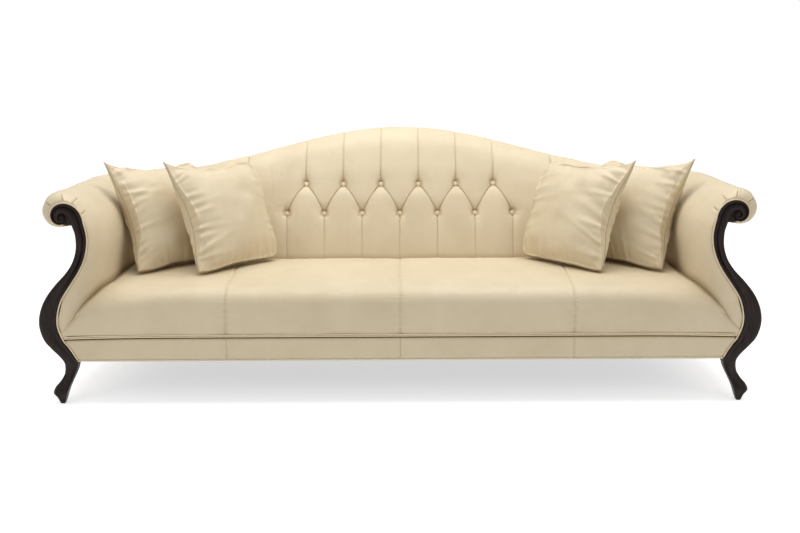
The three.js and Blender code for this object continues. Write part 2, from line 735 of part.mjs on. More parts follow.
// The outside covers hang from the end of the roll. Shares as for the sections above.
const armCoverShares = [
  [-0.89, 0.803], [-1, 0.745], [-0.703, 0.671], [0, 0.591], [0.838, 0.493], [1.216, 0.396],
  [1.01, 0.31], [0.405, 0.243], [-0.04, 0.211],
];
const backCoverShares = [
  [0.7, 0.95], [0.68, 0.87], [0.62, 0.77], [0.52, 0.65], [0.38, 0.52], [0.2, 0.39],
  [-0.02, 0.26], [-0.3, 0.12], [-0.5, 0],
];
const coverEnd = armCoverShares.length;

function coverControls(p) {
  const share = armShare(p);
  const [endOut, endZ] = sectionControls(p)[sectionEnd];
  const shares = armCoverShares.map(([out, up], k) => [
    lerp(backCoverShares[k][0] * camel.crestSetback, out * arm.rollRadius, share),
    lerp(lerp(rail.bottom, endZ, backCoverShares[k][1]), up * arm.height, share),
  ]);
  return [[endOut, endZ - fit.tack], ...shares];
}

function coverPoint(p, v, inwards = 0) {
  const [outward, z] = spline(coverControls(p), v);
  return place(p, outward - inwards, z);
}

function outsideCover(stations, grow) {
  const rows = spaced(0, coverEnd, 9);
  return slab(
    stations.map((p) => rows.map((v) => coverPoint(p, v))),
    stations.map((p) => rows.map((v) => coverPoint(p, v, pad.sheet + grow))),
  );
}

function outsideArm(side, grow = 0) {
  const start = crestRun - (frontY + stump.depth + fit.joint - padFrontY);
  return outsideCover(spaced(start, seamRun + halfSeam - grow, 8).map((p) => side * p), grow);
}

function outsideBack(grow = 0) {
  const turn = spaced(seamRun - halfSeam + grow, backRun, 5);
  return outsideCover([
    ...turn.map((p) => -p), ...spaced(-backRun, backRun, 18).slice(1, -1), ...turn.reverse(),
  ], grow);
}

// The padding and the covers grown by the seam, which the frame is fitted to.
const paddingCutters = [
  ...[1, -1].flatMap((side) => [insideArm(side, fit.seam), insideWing(side, fit.seam)]),
  slab(panelStations(fit.seam).map((p) => liningRows.map((v) => skin(p, v))), panelLining(fit.seam)),
];
const coverCutters = [outsideBack(2 * fit.joint), ...[1, -1].map((side) => outsideArm(side, 2 * fit.joint))];
const fitted = (piece, cutters = paddingCutters) => fittedTo(piece, cutters);

// The webbing lies on the rails, and the seat on the webbing.
const railTop = rail.bottom + rail.height;
const webTop = railTop + web.gap + web.rise + web.thickness;
const seatBottom = webTop + fit.seam;
const seatFrontY = frontY + seat.frontInset;
const seatRearY = crestY - camel.rake + seat.reachBehind;
const seatEndX = halfWidth - stump.reach * seat.endShare;

function seatHeight(y) {
  const share = clamp((y - seatFrontY) / (seatRearY - seatFrontY), 0, 1);
  return seat.height + seat.crown * Math.sin(Math.PI * share);
}

const onSeam = (x) => [0, seam.panelHalf].some((spot) => Math.abs(Math.abs(x) - spot) < seat.groove);

function seatRing(x) {
  const share = smooth((Math.abs(x) - (seatEndX - seat.endRun)) / seat.endRun);
  const inset = onSeam(x) ? seat.groove : 0;
  const across = lerp(seat.roundingCentre, seat.roundingEnd, share);
  const drop = lerp(seat.height - seat.faceTop, seat.height - seatBottom, share * seat.dropShare);
  const faceZ = seat.height - drop;
  const face = spaced(0, 1, 3).map((t) => [
    seatFrontY + inset - seat.bulge * Math.sin(Math.PI * t) * (1 - share), lerp(seatBottom, faceZ, t),
  ]);
  const round = spaced(0, 90, 6).slice(1).map((degrees) => {
    const y = seatFrontY + inset + across * (1 - Math.cos(radians(degrees)));
    return [y, faceZ - inset + (seatHeight(y) - faceZ) * Math.sin(radians(degrees))];
  });
  const top = spaced(seatFrontY + across, seatRearY, 6).slice(1).map((y) => [y, seatHeight(y) - inset]);
  return [...face, ...round, ...top, [seatRearY, seatBottom]].map(([y, z]) => vec(x, y, z));
}

// What the seat is trimmed by: the padding's own surface, grown by the seam and carried outwards.
function padCutter(stations, rows, surface) {
  const front = stations.map((p) => rows(p).map((v) => {
    return surface(p, v).addScaledVector(skinNormal(p, v), fit.seam);
  }));
  const back = stations.map((p, i) => front[i].map((point) => {
    const { nx, ny } = planPoint(p);
    return point.clone().add(vec(nx * fit.overrun, ny * fit.overrun, 0));
  }));
  for (const [grid, shift] of [[front, stump.depth], [back, stump.depth]]) {
    if (Math.abs(stations[0]) > seamRun + fit.loose) {
      grid.unshift(grid[0].map((point) => point.clone().add(vec(0, -shift, 0))));
    }
  }
  for (const grid of [front, back]) {
    grid.forEach((line) => line.unshift(line[0].clone().add(vec(0, 0, -stump.depth))));
  }
  return slab(front, back);
}

// The seat meets only the lowest rows of the padding.
const lowRowCount = 7;

function seatCutters() {
  const lowRows = sectionRows.slice(0, lowRowCount);
  const lap = fit.seam * 2;
  const wing = spaced(seamRun - halfSeam, seam.panelHalf + halfSeam, 9);
  const arms = [1, -1].map((side) => {
    const stations = armStations(side);
    stations[stations.length - 1] -= side * lap;
    return padCutter(stations, () => lowRows, skin);
  });
  const wings = [1, -1].map((side) => padCutter(wing.map((p) => side * p), () => lowRows, skin));
  const columns = [...columnPlaces];
  columns[0] -= lap;
  columns[columns.length - 1] += lap;
  const middle = padCutter(columns, (p) => tuftedRows(p).slice(0, 4), tuftedPoint);
  return [...arms, ...wings, middle];
}

// Where the seat's sections lie, as shares of the way to its seam and from there to its end.
const middleShares = [0.34, 0.67];
const endShares = [0.15, 0.3, 0.41, 0.515, 0.6, 0.69, 0.78, 0.87, 0.945];

function tightSeat() {
  const half = [
    0, seat.grooveHalf,
    ...middleShares.map((share) => share * seam.panelHalf),
    seam.panelHalf - seat.grooveHalf, seam.panelHalf, seam.panelHalf + seat.grooveHalf,
    ...endShares.map((share) => lerp(seam.panelHalf, seatEndX, share)),
    seatEndX,
  ];
  const places = [...half.slice(1).reverse().map((x) => -x), ...half];
  return cutBy(loft(places.map(seatRing)), seatCutters());
}

// Pillows: a crowned square with pulled-in sides and drawn-out corners.
function pillowPoint(u, v, face) {
  const drawn = (a, b) => (pillow.size / 2 - pillow.pinch * (1 - b ** 2) * Math.abs(a) ** 3) * a;
  const rise = ((1 - u ** 2) * (1 - v ** 2)) ** pillow.fullness;
  return vec(drawn(u, v), (face * pillow.thickness * rise) / 2, drawn(v, u));
}

function pillowBody() {
  const lines = spaced(-1, 1, 10).map((t) => Math.sin((t * Math.PI) / 2));
  const grid = (face) => lines.map((u) => lines.map((v) => pillowPoint(u, v, face)));
  return facingOut(merged(slab(grid(-1), grid(1))));
}

function placedPillow(side, [inset, setback]) {
  const body = pillowBody();
  body.rotateX(radians(-pillow.lean)).rotateZ(radians(pillow.turn));
  body.translate(inset - halfWidth, frontY + setback, 0);
  const position = body.attributes.position;
  const drop = range(position.count).map((i) => position.getZ(i) - seatHeight(position.getY(i)));
  body.translate(0, 0, pillow.rest - Math.min(...drop));
  return side < 0 ? body : mirrored(body);
}

// Frame pieces
function acrossBoard(near, far, low, high, clearance) {
  const right = spaced(low, high, 8).map((z) => [innerEdgeX(z, clearance), z]);
  const left = right.map(([x, z]) => [-x, z]).reverse();
  return carriedBack([...right, ...left], near, far);
}

const borderFar = frontY + border.inset + border.thickness;
const frontRailNear = borderFar + fit.joint;
const frontRailFar = frontRailNear + rail.thickness;
const stumpBack = frontY + stump.depth + fit.joint;
const postPlace = place(seamRun, -post.setback, 0);
const postHalf = post.side / 2;
const postFront = postPlace.y - postHalf - fit.joint;
const rearRailNear = postPlace.y - rail.thickness / 2;
const rearRailFar = postPlace.y + rail.thickness / 2;

const frontBorder = () =>
  acrossBoard(frontY + border.inset, borderFar, border.bottom, border.top, weltGap + welt.radius + fit.seam);
const frontRail = () => acrossBoard(frontRailNear, frontRailFar, rail.bottom, railTop, 2 * fit.joint);
const rearRail = () =>
  new THREE.BoxGeometry(2 * (postPlace.x - postHalf - fit.joint), rail.thickness, rail.height)
    .translate(0, postPlace.y, rail.bottom + rail.height / 2);

// The side rail runs from the back of the stump to the front of the rear post, a little toed in.
const sideFront = innerEdgeX(rail.bottom) + rail.sideOffset;
const sideRear = postPlace.x;
const sideX = (y, offset) => lerp(sideFront, sideRear, (y - stumpBack) / (postFront - stumpBack)) + offset;

function sideBoard(frontX, rearX, thickness, low, high) {
  const half = thickness / 2;
  const front = [[frontX - half, stumpBack], [frontX + half, stumpBack]];
  const rear = [[rearX + half, postFront], [rearX - half, postFront]];
  return raised([...front, ...rear], low, high);
}

const sideRail = () => sideBoard(sideFront, sideRear, rail.thickness, rail.bottom, railTop);
function armRailBoard() {
  const { frontInset, outset, thickness, low, high } = armRail;
  return sideBoard(crestFront - frontInset, sideRear + outset, thickness, low, high);
}

// A rear leg and post in one: a sabre foot that sweeps out and back, then a straight post.
function rearPost() {
  const top = crestHeight(seamRun) - pad.thickness - fit.loose - crest.height - 2 * fit.joint;
  const { nx, ny } = planPoint(seamRun);
  const heights = [...spaced(0, rail.bottom, 6), railTop, armRail.low, top];
  return loft(heights.map((z) => {
    const below = clamp(1 - z / rail.bottom, 0, 1);
    const half = lerp(postHalf, post.sole / 2, below);
    const swept = post.splay * below ** 2;
    const [x, y] = [postPlace.x + nx * swept, postPlace.y + ny * swept];
    return [[-half, -half], [half, -half], [half, half], [-half, half]].map(([a, b]) => vec(x + a, y + b, z));
  }));
}

function tackingRail() {
  const width = 2 * (postPlace.x - postHalf - fit.joint);
  return new THREE.BoxGeometry(width, tacking.thickness, tacking.high - tacking.low)
    .translate(0, rearRailNear + fit.joint + tacking.forward, (tacking.low + tacking.high) / 2);
}

function crestRail() {
  const turn = spaced(seamRun - fit.joint, backRun, 5);
  const stations = [...turn.map((p) => -p), ...spaced(-backRun, backRun, 16).slice(1, -1), ...turn.reverse()];
  const { inside, outside, height, flat, slope, slopeInside } = crest;
  return loft(stations.map((p) => {
    const top = crestHeight(p) - pad.thickness + fit.seam;
    return [
      [-flat, 0], [flat, 0], [outside, -slope], [outside, -height],
      [-inside, -height], [-inside, -slopeInside],
    ].map(([outward, down]) => place(p, outward, top + down));
  }));
}

function armTopRail(side) {
  const start = crestRun - (stumpBack - padFrontY);
  const { radius } = armTop;
  return loft(spaced(start, seamRun + fit.joint, 8).map((p) => {
    const centre = crestHeight(p) - pad.thickness - fit.loose - radius;
    return range(8).map((k) => {
      const angle = ((k + 0.5) * Math.PI) / 4;
      const reach = radius / Math.cos(Math.PI / 8);
      return place(side * p, reach * Math.cos(angle), centre + reach * Math.sin(angle));
    });
  }));
}

function backUpright(x) {
  const top = Math.min(...[-1, 1].map((k) => crestHeight(x + (k * upright.width) / 2)));
  const high = top - pad.thickness - fit.loose - crest.height - 2 * fit.joint;
  const rearY = crestY - (crest.inside - crest.outside) / 2;
  return loft([[railTop + fit.joint, postPlace.y], [high, rearY]].map(([z, y]) => {
    const [a, b] = [upright.width / 2, upright.thickness / 2];
    return [[-a, -b], [a, -b], [a, b], [-a, b]].map(([across, deep]) => vec(x + across, y + deep, z));
  }));
}

function seatStretcher(x) {
  const near = frontRailFar + fit.joint;
  const far = rearRailNear - fit.joint;
  const outline = [
    [near, rail.bottom],
    [far, rail.bottom],
    ...spaced(1, 0, 8).map((t) => [
      lerp(near, far, t), rail.bottom + stretcher.height - stretcher.scoop * Math.sin(Math.PI * t),
    ]),
  ];
  const shape = new THREE.Shape(outline.map(([y, z]) => new THREE.Vector2(y, z)));
  const board = new THREE.ExtrudeGeometry(shape, { depth: stretcher.thickness, bevelEnabled: false });
  return board.rotateX(Math.PI / 2).rotateZ(Math.PI / 2).translate(x - stretcher.thickness / 2, 0, 0);
}

function cornerBlock(isFront) {
  const gap = fit.joint;
  const half = rail.thickness / 2 + gap;
  const [low, high] = [rail.bottom, rail.bottom + block.height];
  if (isFront) {
    const y = Math.max(frontRailFar, stumpBack) + gap;
    return raised([
      [sideX(y, -half), y], [sideX(y + block.leg, -half), y + block.leg], [sideX(y, -half) - block.leg, y],
    ], low, high);
  }
  const rear = rearRailNear - gap;
  const inner = postPlace.x - postHalf - gap;
  const shoulder = postFront - gap;
  return raised([
    [inner - block.leg, rear], [inner, rear], [inner, shoulder], [sideX(shoulder, -half), shoulder],
    [sideX(shoulder - block.leg, -half), shoulder - block.leg],
  ], low, high);
}

// Webbing, woven over and under where the straps cross.
const webReach = halfWidth * web.spreadShare;
const webSpots = {
  acrossX: spaced(-webReach, webReach, web.straps - 1),
  alongY: web.alongShares.map((share) => frontY + share * overall.depth),
};
const isOver = (i, j) => (i + j) % 2 === 0;

function strap(path, wideAxis) {
  const faces = [0, web.thickness].map((up) =>
    path.map(({ at, z }) => [-1, 1].map((k) => {
      const [x, y] = at.map((value, axis) => value + (axis === wideAxis ? (k * web.width) / 2 : 0));
      return vec(x, y, z + up);
    })),
  );
  return slab(faces[1], faces[0]);
}

function woven(length, spots, risesAt) {
  const base = railTop + web.gap;
  const reach = web.width * web.clearShare;
  const hump = [[-web.rampShare, 0], [-1, web.rise], [1, web.rise], [web.rampShare, 0]];
  const humps = spots.filter((_, k) => risesAt(k))
    .flatMap((spot) => hump.map(([share, up]) => [spot + share * reach, base + up]));
  return [[length[0], base], ...humps, [length[1], base]];
}

function webAcross(i) {
  const path = woven([frontRailNear, rearRailFar], webSpots.alongY, (j) => isOver(i, j));
  return strap(path.map(([y, z]) => ({ at: [webSpots.acrossX[i], y], z })), 0);
}

function webAlong(j) {
  const end = sideX(webSpots.alongY[j], rail.sideOffset);
  const path = woven([-end, end], webSpots.acrossX, (i) => !isOver(i, j));
  return strap(path.map(([x, z]) => ({ at: [x, webSpots.alongY[j]], z })), 1);
}

// The dust cover closes the underside and is notched round the posts.
function dustCover() {
  const start = crestRun - (stumpBack - padFrontY);
  const turn = backRun + cornerRun;
  const stations = [...spaced(start, turn, 2), ...spaced(turn, backRun, 6).slice(1)];
  const side = stations.map((p) => place(p, -cover.inset, 0)).map(({ x, y }) => [x, y]);
  const lip = innerEdgeX(rail.bottom) - fit.loose;
  const right = [[lip, borderFar], [lip, stumpBack], ...side];
  const left = right.map(([x, y]) => [-x, y]).reverse();
  const top = rail.bottom - fit.joint;
  const notch = post.side + fit.loose;
  const notches = [1, -1].map((k) => new THREE.BoxGeometry(notch, notch, rail.height)
    .translate(k * postPlace.x, postPlace.y, rail.bottom));
  return cutBy(raised([...right, ...left], top - cover.thickness, top), notches);
}

// Welts
function armWelt() {
  const y = frontY + welt.forward + welt.radius;
  const edge = innerEdge(weltGap).filter(([, z]) => z > border.bottom);
  const coil = spaced(turnOf.weltStart, turnOf.rimEnd, 18).map((degrees) => voluteRim(degrees, -weltGap));
  const path = [...edge, ...coil];
  return tube(path.map(([x, z]) => vec(x, y, z)), welt.radius, 6, vec(0, 1, 0));
}

// The double welt's section: two cords side by side, in shares of one cord's radius.
const doubleShares = [[0, -2.2], [-0.9, -1.9], [-1.1, -1.2], [-0.5, 0], [-1.1, 1.2], [-0.9, 1.9], [0, 2.2]];

function doubleWelt() {
  const { doubleRadius: r, doubleHeight, doubleDip } = welt;
  const end = innerEdgeX(doubleHeight - doubleDip, weltGap + welt.radius) - fit.loose;
  const y = seatFrontY - 3 * fit.joint;
  return loft(spaced(-end, end, 16).map((x) => {
    const share = clamp((Math.abs(x) - end + seat.endRun) / seat.endRun, 0, 1);
    const z = doubleHeight - doubleDip * share ** 2;
    return doubleShares.map(([deep, up]) => vec(x, y + deep * r, z + up * r));
  }));
}

function bottomWelt() {
  const z = border.bottom - welt.radius - fit.joint;
  const end = innerEdgeX(z) - fit.loose;
  const y = frontY + border.inset + welt.radius;
  return cord([vec(-end, y, z), vec(0, y, z), vec(end, y, z)], welt.radius, 8, 1);
}

// Assembly
const finish = {
  leather: { color: colours.leather, roughness: 0.55 },
  wood: { color: colours.wood, roughness: 0.35 },
  frame: { color: colours.frame, roughness: 0.8 },
  jute: { color: colours.jute, roughness: 0.95 },
  cambric: { color: colours.cambric, roughness: 0.9 },
};
const materials = Object.fromEntries(Object.entries(finish).map(([name, values]) => {
  return [name, new THREE.MeshStandardMaterial({ ...values, metalness: 0 })];
}));

const sofa = new THREE.Group();

function add(name, geometry, material) {
  const mesh = new THREE.Mesh(geometry, materials[material]);
  mesh.name = name;
  sofa.add(mesh);
}

// A piece made for the side with positive X and its mirror image.
function addPair(name, geometry, material) {
  add(`${name}_right`, geometry, material);
  add(`${name}_left`, mirrored(geometry), material);
}

addPair("arm_stump", armStump(), "wood");
addPair("rear_leg_post", fitted(rearPost(), [...paddingCutters, ...coverCutters]), "wood");
add("front_rail", frontRail(), "frame");
add("rear_rail", rearRail(), "frame");
addPair("side_rail", sideRail(), "frame");
addPair("arm_rail", fitted(armRailBoard()), "frame");
addPair("arm_top_rail", fitted(armTopRail(1)), "frame");
add("crest_rail", fitted(crestRail(), [...paddingCutters, ...coverCutters]), "frame");
add("back_tacking_rail", tackingRail(), "frame");
addPair("back_upright", backUpright(halfWidth * upright.offsetShare), "frame");
addPair("seat_stretcher", seatStretcher(halfWidth * stretcher.offsetShare), "frame");
addPair("front_corner_block", cornerBlock(true), "frame");
addPair("rear_corner_block", cornerBlock(false), "frame");
webSpots.acrossX.forEach((_, i) => add(`webbing_across_${i + 1}`, webAcross(i), "jute"));
webSpots.alongY.forEach((_, j) => add(`webbing_along_${j + 1}`, webAlong(j), "jute"));
add("dust_cover", dustCover(), "cambric");
add("seat_cushion", tightSeat(), "leather");
add("front_border", frontBorder(), "leather");
addPair("inside_arm", insideArm(1), "leather");
addPair("inside_wing", insideWing(1), "leather");
add("tufted_back", tuftedPanel(), "leather");
addPair("outside_arm", outsideArm(1), "leather");
add("outside_back", outsideBack(), "leather");
buttonSpots.forEach(([x, z], i) => add(`back_button_${i + 1}`, placedButton(x, z), "leather"));
addPair("arm_welt", armWelt(), "leather");
add("seat_double_welt", doubleWelt(), "leather");
add("bottom_welt", bottomWelt(), "leather");
for (const [name, spot] of Object.entries(pillowInsets)) {
  add(`${name}_pillow_left`, placedPillow(-1, spot), "leather");
  add(`${name}_pillow_right`, placedPillow(1, spot), "leather");
}

export default sofa;
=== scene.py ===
"""Looks of a leather camelback sofa: carved espresso arm stumps, a tufted camel back, one tight seat
and four loose pillows. Metres. X runs along the sofa, the front faces -Y, and the floor is Z = 0."""

import json
import math

import bmesh
import bpy
import numpy as np
from bpy.props import FloatProperty, FloatVectorProperty, PointerProperty
from mathutils import Matrix, Vector
from mathutils.bvhtree import BVHTree

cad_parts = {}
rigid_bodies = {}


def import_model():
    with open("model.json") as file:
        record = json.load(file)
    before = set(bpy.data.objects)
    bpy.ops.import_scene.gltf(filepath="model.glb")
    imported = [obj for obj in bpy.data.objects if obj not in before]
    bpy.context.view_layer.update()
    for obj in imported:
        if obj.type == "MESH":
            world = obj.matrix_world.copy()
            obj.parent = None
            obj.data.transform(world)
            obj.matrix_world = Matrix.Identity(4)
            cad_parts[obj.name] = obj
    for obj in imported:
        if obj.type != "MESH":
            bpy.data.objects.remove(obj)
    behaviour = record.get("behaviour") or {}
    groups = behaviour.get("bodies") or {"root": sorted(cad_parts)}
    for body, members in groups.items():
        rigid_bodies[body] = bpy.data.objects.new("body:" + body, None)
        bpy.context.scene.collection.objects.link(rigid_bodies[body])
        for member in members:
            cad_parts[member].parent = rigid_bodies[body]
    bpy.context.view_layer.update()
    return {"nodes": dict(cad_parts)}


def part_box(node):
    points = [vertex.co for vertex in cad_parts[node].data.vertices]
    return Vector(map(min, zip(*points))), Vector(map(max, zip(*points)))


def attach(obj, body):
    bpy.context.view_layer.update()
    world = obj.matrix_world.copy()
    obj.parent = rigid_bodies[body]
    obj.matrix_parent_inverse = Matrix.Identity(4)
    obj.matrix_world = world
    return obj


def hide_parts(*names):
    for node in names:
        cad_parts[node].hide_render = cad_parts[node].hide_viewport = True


bl_info = {
    "name": "Camelback Sofa",
    "version": (1, 0, 0),
    "blender": (4, 5, 0),
    "location": "View3D > Sidebar > Sofa",
    "description": "Builds the upholstery, the carved trim and the studio of a leather camelback sofa",
    "category": "Add Mesh",
}

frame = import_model()
NODES = frame["nodes"]
STUMP_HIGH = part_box("arm_stump_right")[1]
SEAT_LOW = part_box("seat_cushion")[0]
BORDER_LOW, BORDER_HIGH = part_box("front_border")
SIDES = {"right": 1, "left": -1}
SOFA_BODY = "sofa"
PILLOWS = [f"{row}_pillow_{side}" for row in ("inner", "outer") for side in SIDES]


class SofaSizes(bpy.types.PropertyGroup):
    """Sizes of the upholstery, in metres."""

    arm_height: FloatProperty(
        name="Arm height", description="Floor to the top of the rolled arms", default=0.872, unit="LENGTH")
    shoulder_height: FloatProperty(
        name="Shoulder height", description="Floor to the low part of the back's crest", default=0.854,
        unit="LENGTH")
    camel_height: FloatProperty(
        name="Camel height", description="Floor to the top of the hump", default=1.035, unit="LENGTH")
    camel_half_span: FloatProperty(
        name="Camel half span", description="Middle of the hump to its foot", default=1.09, unit="LENGTH")
    roll_radius: FloatProperty(
        name="Roll radius", description="Radius of the rolled arm", default=0.074, unit="LENGTH")
    pad_thickness: FloatProperty(
        name="Padding", description="Thickness of the padding over the frame", default=0.034, unit="LENGTH")
    panel_half: FloatProperty(
        name="Tufted half width", description="Middle of the back to the seam of its tufted panel",
        default=0.7, unit="LENGTH")
    tuft_pitch: FloatProperty(
        name="Tuft pitch", description="Button to button along a row", default=0.171, unit="LENGTH")
    tuft_upper: FloatProperty(
        name="Upper buttons", description="Floor to the upper row of buttons", default=0.8, unit="LENGTH")
    tuft_lower: FloatProperty(
        name="Lower buttons", description="Floor to the lower row of buttons", default=0.672, unit="LENGTH")
    tuft_depth: FloatProperty(
        name="Tuft depth", description="How far a button is drawn in", default=0.024, unit="LENGTH")
    seat_height: FloatProperty(
        name="Seat height", description="Floor to the edges of the seat's top", default=0.474,
        unit="LENGTH")
    seat_crown: FloatProperty(
        name="Seat crown", description="How far the seat rises in its middle", default=0.018, unit="LENGTH")
    pillow_size: FloatProperty(
        name="Pillow size", description="Corner to corner along one side of a pillow", default=0.486,
        unit="LENGTH")
    pillow_thickness: FloatProperty(
        name="Pillow thickness", description="Thickness of a pillow at its middle", default=0.184,
        unit="LENGTH")
    pillow_turn: FloatProperty(
        name="Pillow turn", description="How far a pillow turns towards the middle",
        default=math.radians(48), subtype="ANGLE")
    pillow_lean: FloatProperty(
        name="Pillow lean", description="How far a pillow leans back", default=math.radians(23),
        subtype="ANGLE")


class SofaColours(bpy.types.PropertyGroup):
    """Colours of the materials, as linear values."""

    leather: FloatVectorProperty(
        name="Leather", description="Cream leather", subtype="COLOR", size=3, default=(0.71, 0.6, 0.415),
        min=0, max=1)
    # Painted shade: the darker tone that ambient occlusion mixes into the leather in folds and hollows.
    leather_painted_shade: FloatVectorProperty(
        name="Leather folds", description="Leather where it is drawn in", subtype="COLOR", size=3,
        default=(0.47, 0.36, 0.2), min=0, max=1)
    wood: FloatVectorProperty(
        name="Espresso wood", description="Carved wood where it is darkest", subtype="COLOR", size=3,
        default=(0.019, 0.0105, 0.0085), min=0, max=1)
    wood_worn: FloatVectorProperty(
        name="Espresso highlights", description="Carved wood where the grain is lighter", subtype="COLOR",
        size=3, default=(0.036, 0.021, 0.017), min=0, max=1)
    frame_wood: FloatVectorProperty(
        name="Frame wood", description="Unfinished hardwood inside", subtype="COLOR", size=3,
        default=(0.58, 0.4, 0.2), min=0, max=1)
    jute: FloatVectorProperty(
        name="Jute", description="Webbing under the seat", subtype="COLOR", size=3,
        default=(0.47, 0.32, 0.15), min=0, max=1)
    cambric: FloatVectorProperty(
        name="Cambric", description="Black cloth under the frame", subtype="COLOR", size=3,
        default=(0.022, 0.022, 0.024), min=0, max=1)


class SofaSettings(bpy.types.PropertyGroup):
    """All that a user can change."""

    sizes: PointerProperty(type=SofaSizes)
    colours: PointerProperty(type=SofaColours)


def sizes():
    return bpy.context.scene.sofa.sizes


def colours():
    return bpy.context.scene.sofa.colours


# Numbers and curves

def smooth(t):
    t = np.clip(t, 0, 1)
    return t * t * (3 - 2 * t)


def lerp(a, b, t):
    return a + (b - a) * t


def spline(points, t):
    """A smooth curve: points is (..., count, dimensions) and t broadcasts over what comes before count."""
    last = points.shape[-2] - 1
    t = np.clip(t, 0, last)
    i = np.minimum(np.floor(t).astype(int), last - 1)
    f = (t - i)[..., None]
    before = 2 * points[..., :1, :] - points[..., 1:2, :]
    after = 2 * points[..., -1:, :] - points[..., -2:-1, :]
    padded = np.concatenate([before, points, after], axis=-2)
    shape = (*i.shape, 1, points.shape[-1])
    a, b, c, d = (
        np.take_along_axis(padded, np.broadcast_to((i + k)[..., None, None], shape), axis=-2)[..., 0, :]
        for k in range(4)
    )
    slope_b, slope_c = (c - a) / 2, (d - b) / 2
    return ((2 * f**3 - 3 * f**2 + 1) * b + (f**3 - 2 * f**2 + f) * slope_b
            + (3 * f**2 - 2 * f**3) * c + (f**3 - f**2) * slope_c)


# Large odd numbers that scatter the cells of the noise.
NOISE_X, NOISE_Y, NOISE_Z, NOISE_SEED, NOISE_MIX = 73856093, 19349663, 83492791, 2654435761, 1274126177
NOISE_BITS = 0xFFFF


def value_noise(points, scale, seed):
    """Smooth noise from -1 to 1 at points (n, 3), about one feature for each scale."""
    grid = points / scale
    cell = np.floor(grid).astype(np.int64)
    f = grid - cell
    f = f * f * (3 - 2 * f)
    total = np.zeros(len(points))
    for corner in range(8):
        offset = np.array([(corner >> k) & 1 for k in range(3)])
        at = cell + offset
        code = (at[:, 0] * NOISE_X) ^ (at[:, 1] * NOISE_Y) ^ (at[:, 2] * NOISE_Z) ^ (seed * NOISE_SEED)
        code = (code ^ (code >> 13)) * NOISE_MIX
        value = ((code ^ (code >> 16)) & NOISE_BITS) / NOISE_BITS * 2 - 1
        weight = np.prod(np.where(offset, f, 1 - f), axis=1)
        total += value * weight
    return total


# Meshes

def add_object(name, vertices, faces, material, smooth_angle=None):
    mesh = bpy.data.meshes.new(name)
    mesh.from_pydata([tuple(v) for v in vertices], [], faces)
    mesh.validate()
    mesh.update()
    obj = bpy.data.objects.new(name, mesh)
    bpy.context.scene.collection.objects.link(obj)
    mesh.materials.append(material)
    if smooth_angle is None:
        mesh.shade_smooth()
    else:
        mesh.set_sharp_from_angle(angle=smooth_angle)
    return obj


def face_outwards(obj):
    made = bmesh.new()
    made.from_mesh(obj.data)
    bmesh.ops.recalc_face_normals(made, faces=made.faces)
    made.to_mesh(obj.data)
    made.free()
    return obj


def zipped(a, b):
    """Triangles between two rows of vertex numbers that may hold different counts."""
    faces, i, j = [], 0, 0
    while i < len(a) - 1 or j < len(b) - 1:
        step_a = j == len(b) - 1 or (i < len(a) - 1 and (i + 1) / (len(a) - 1) <= (j + 1) / (len(b) - 1))
        faces.append((a[i + 1], a[i], b[j]) if step_a else (a[i], b[j], b[j + 1]))
        i, j = (i + 1, j) if step_a else (i, j + 1)
    return faces


def grid_faces(rows, columns, start=0, turned=False):
    faces = []
    for i in range(rows - 1):
        for j in range(columns - 1):
            a = start + i * columns + j
            quad = (a, a + columns, a + columns + 1, a + 1)
            faces.append(quad[::-1] if turned else quad)
    return faces


def rim_of(rows, columns, start=0):
    return [
        [start + i * columns for i in range(rows)],
        [start + (rows - 1) * columns + j for j in range(columns)],
        [start + i * columns + columns - 1 for i in reversed(range(rows))],
        [start + j for j in reversed(range(columns))],
    ]


def pad_object(name, front, back, material):
    """A closed pad between a fine grid of the leather and a coarse grid of its lining."""
    size, back_size = front.shape[:2], back.shape[:2]
    start = size[0] * size[1]
    faces = grid_faces(*size) + grid_faces(*back_size, start, True)
    for near, far in zip(rim_of(*size), rim_of(*back_size, start)):
        faces += zipped(near, far)
    vertices = np.concatenate([front.reshape(-1, 3), back.reshape(-1, 3)])
    return face_outwards(add_object(name, vertices, faces, material))


TWIST_RUN = 1.9


def tube(name, points, radius, material, sides=12, twist=0.0):
    """A round cord through points, closed at both ends, with a fine lay of ridges if it is twisted."""
    points = np.asarray(points, float)
    along = np.gradient(points, axis=0)
    along /= np.linalg.norm(along, axis=1)[:, None]
    up = np.array([0.0, -1.0, 0.0])
    out = np.cross(along, up)
    out /= np.linalg.norm(out, axis=1)[:, None]
    across = np.cross(out, along)
    angles = np.arange(sides) * 2 * math.pi / sides
    run = np.concatenate([[0], np.cumsum(np.linalg.norm(np.diff(points, axis=0), axis=1))])
    radii = radius * (1 + twist * np.sin(run / (radius * TWIST_RUN))[:, None] * np.ones(sides))
    rings = (points[:, None, :] + out[:, None, :] * (radii * np.cos(angles))[..., None]
             + across[:, None, :] * (radii * np.sin(angles))[..., None])
    count = len(points)
    faces = [
        (i * sides + j, i * sides + (j + 1) % sides, (i + 1) * sides + (j + 1) % sides, (i + 1) * sides + j)
        for i in range(count - 1) for j in range(sides)
    ]
    faces += [tuple(range(sides))[::-1], tuple((count - 1) * sides + j for j in range(sides))]
    return face_outwards(add_object(name, rings.reshape(-1, 3), faces, material))


def seated(obj, *nodes, body=SOFA_BODY, slot="ivory_leather", fill=None):
    """The piece rides on a body and stands for its CAD nodes, which it hides. The slot is not used."""
    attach(obj, body)
    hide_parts(*nodes)
    return obj


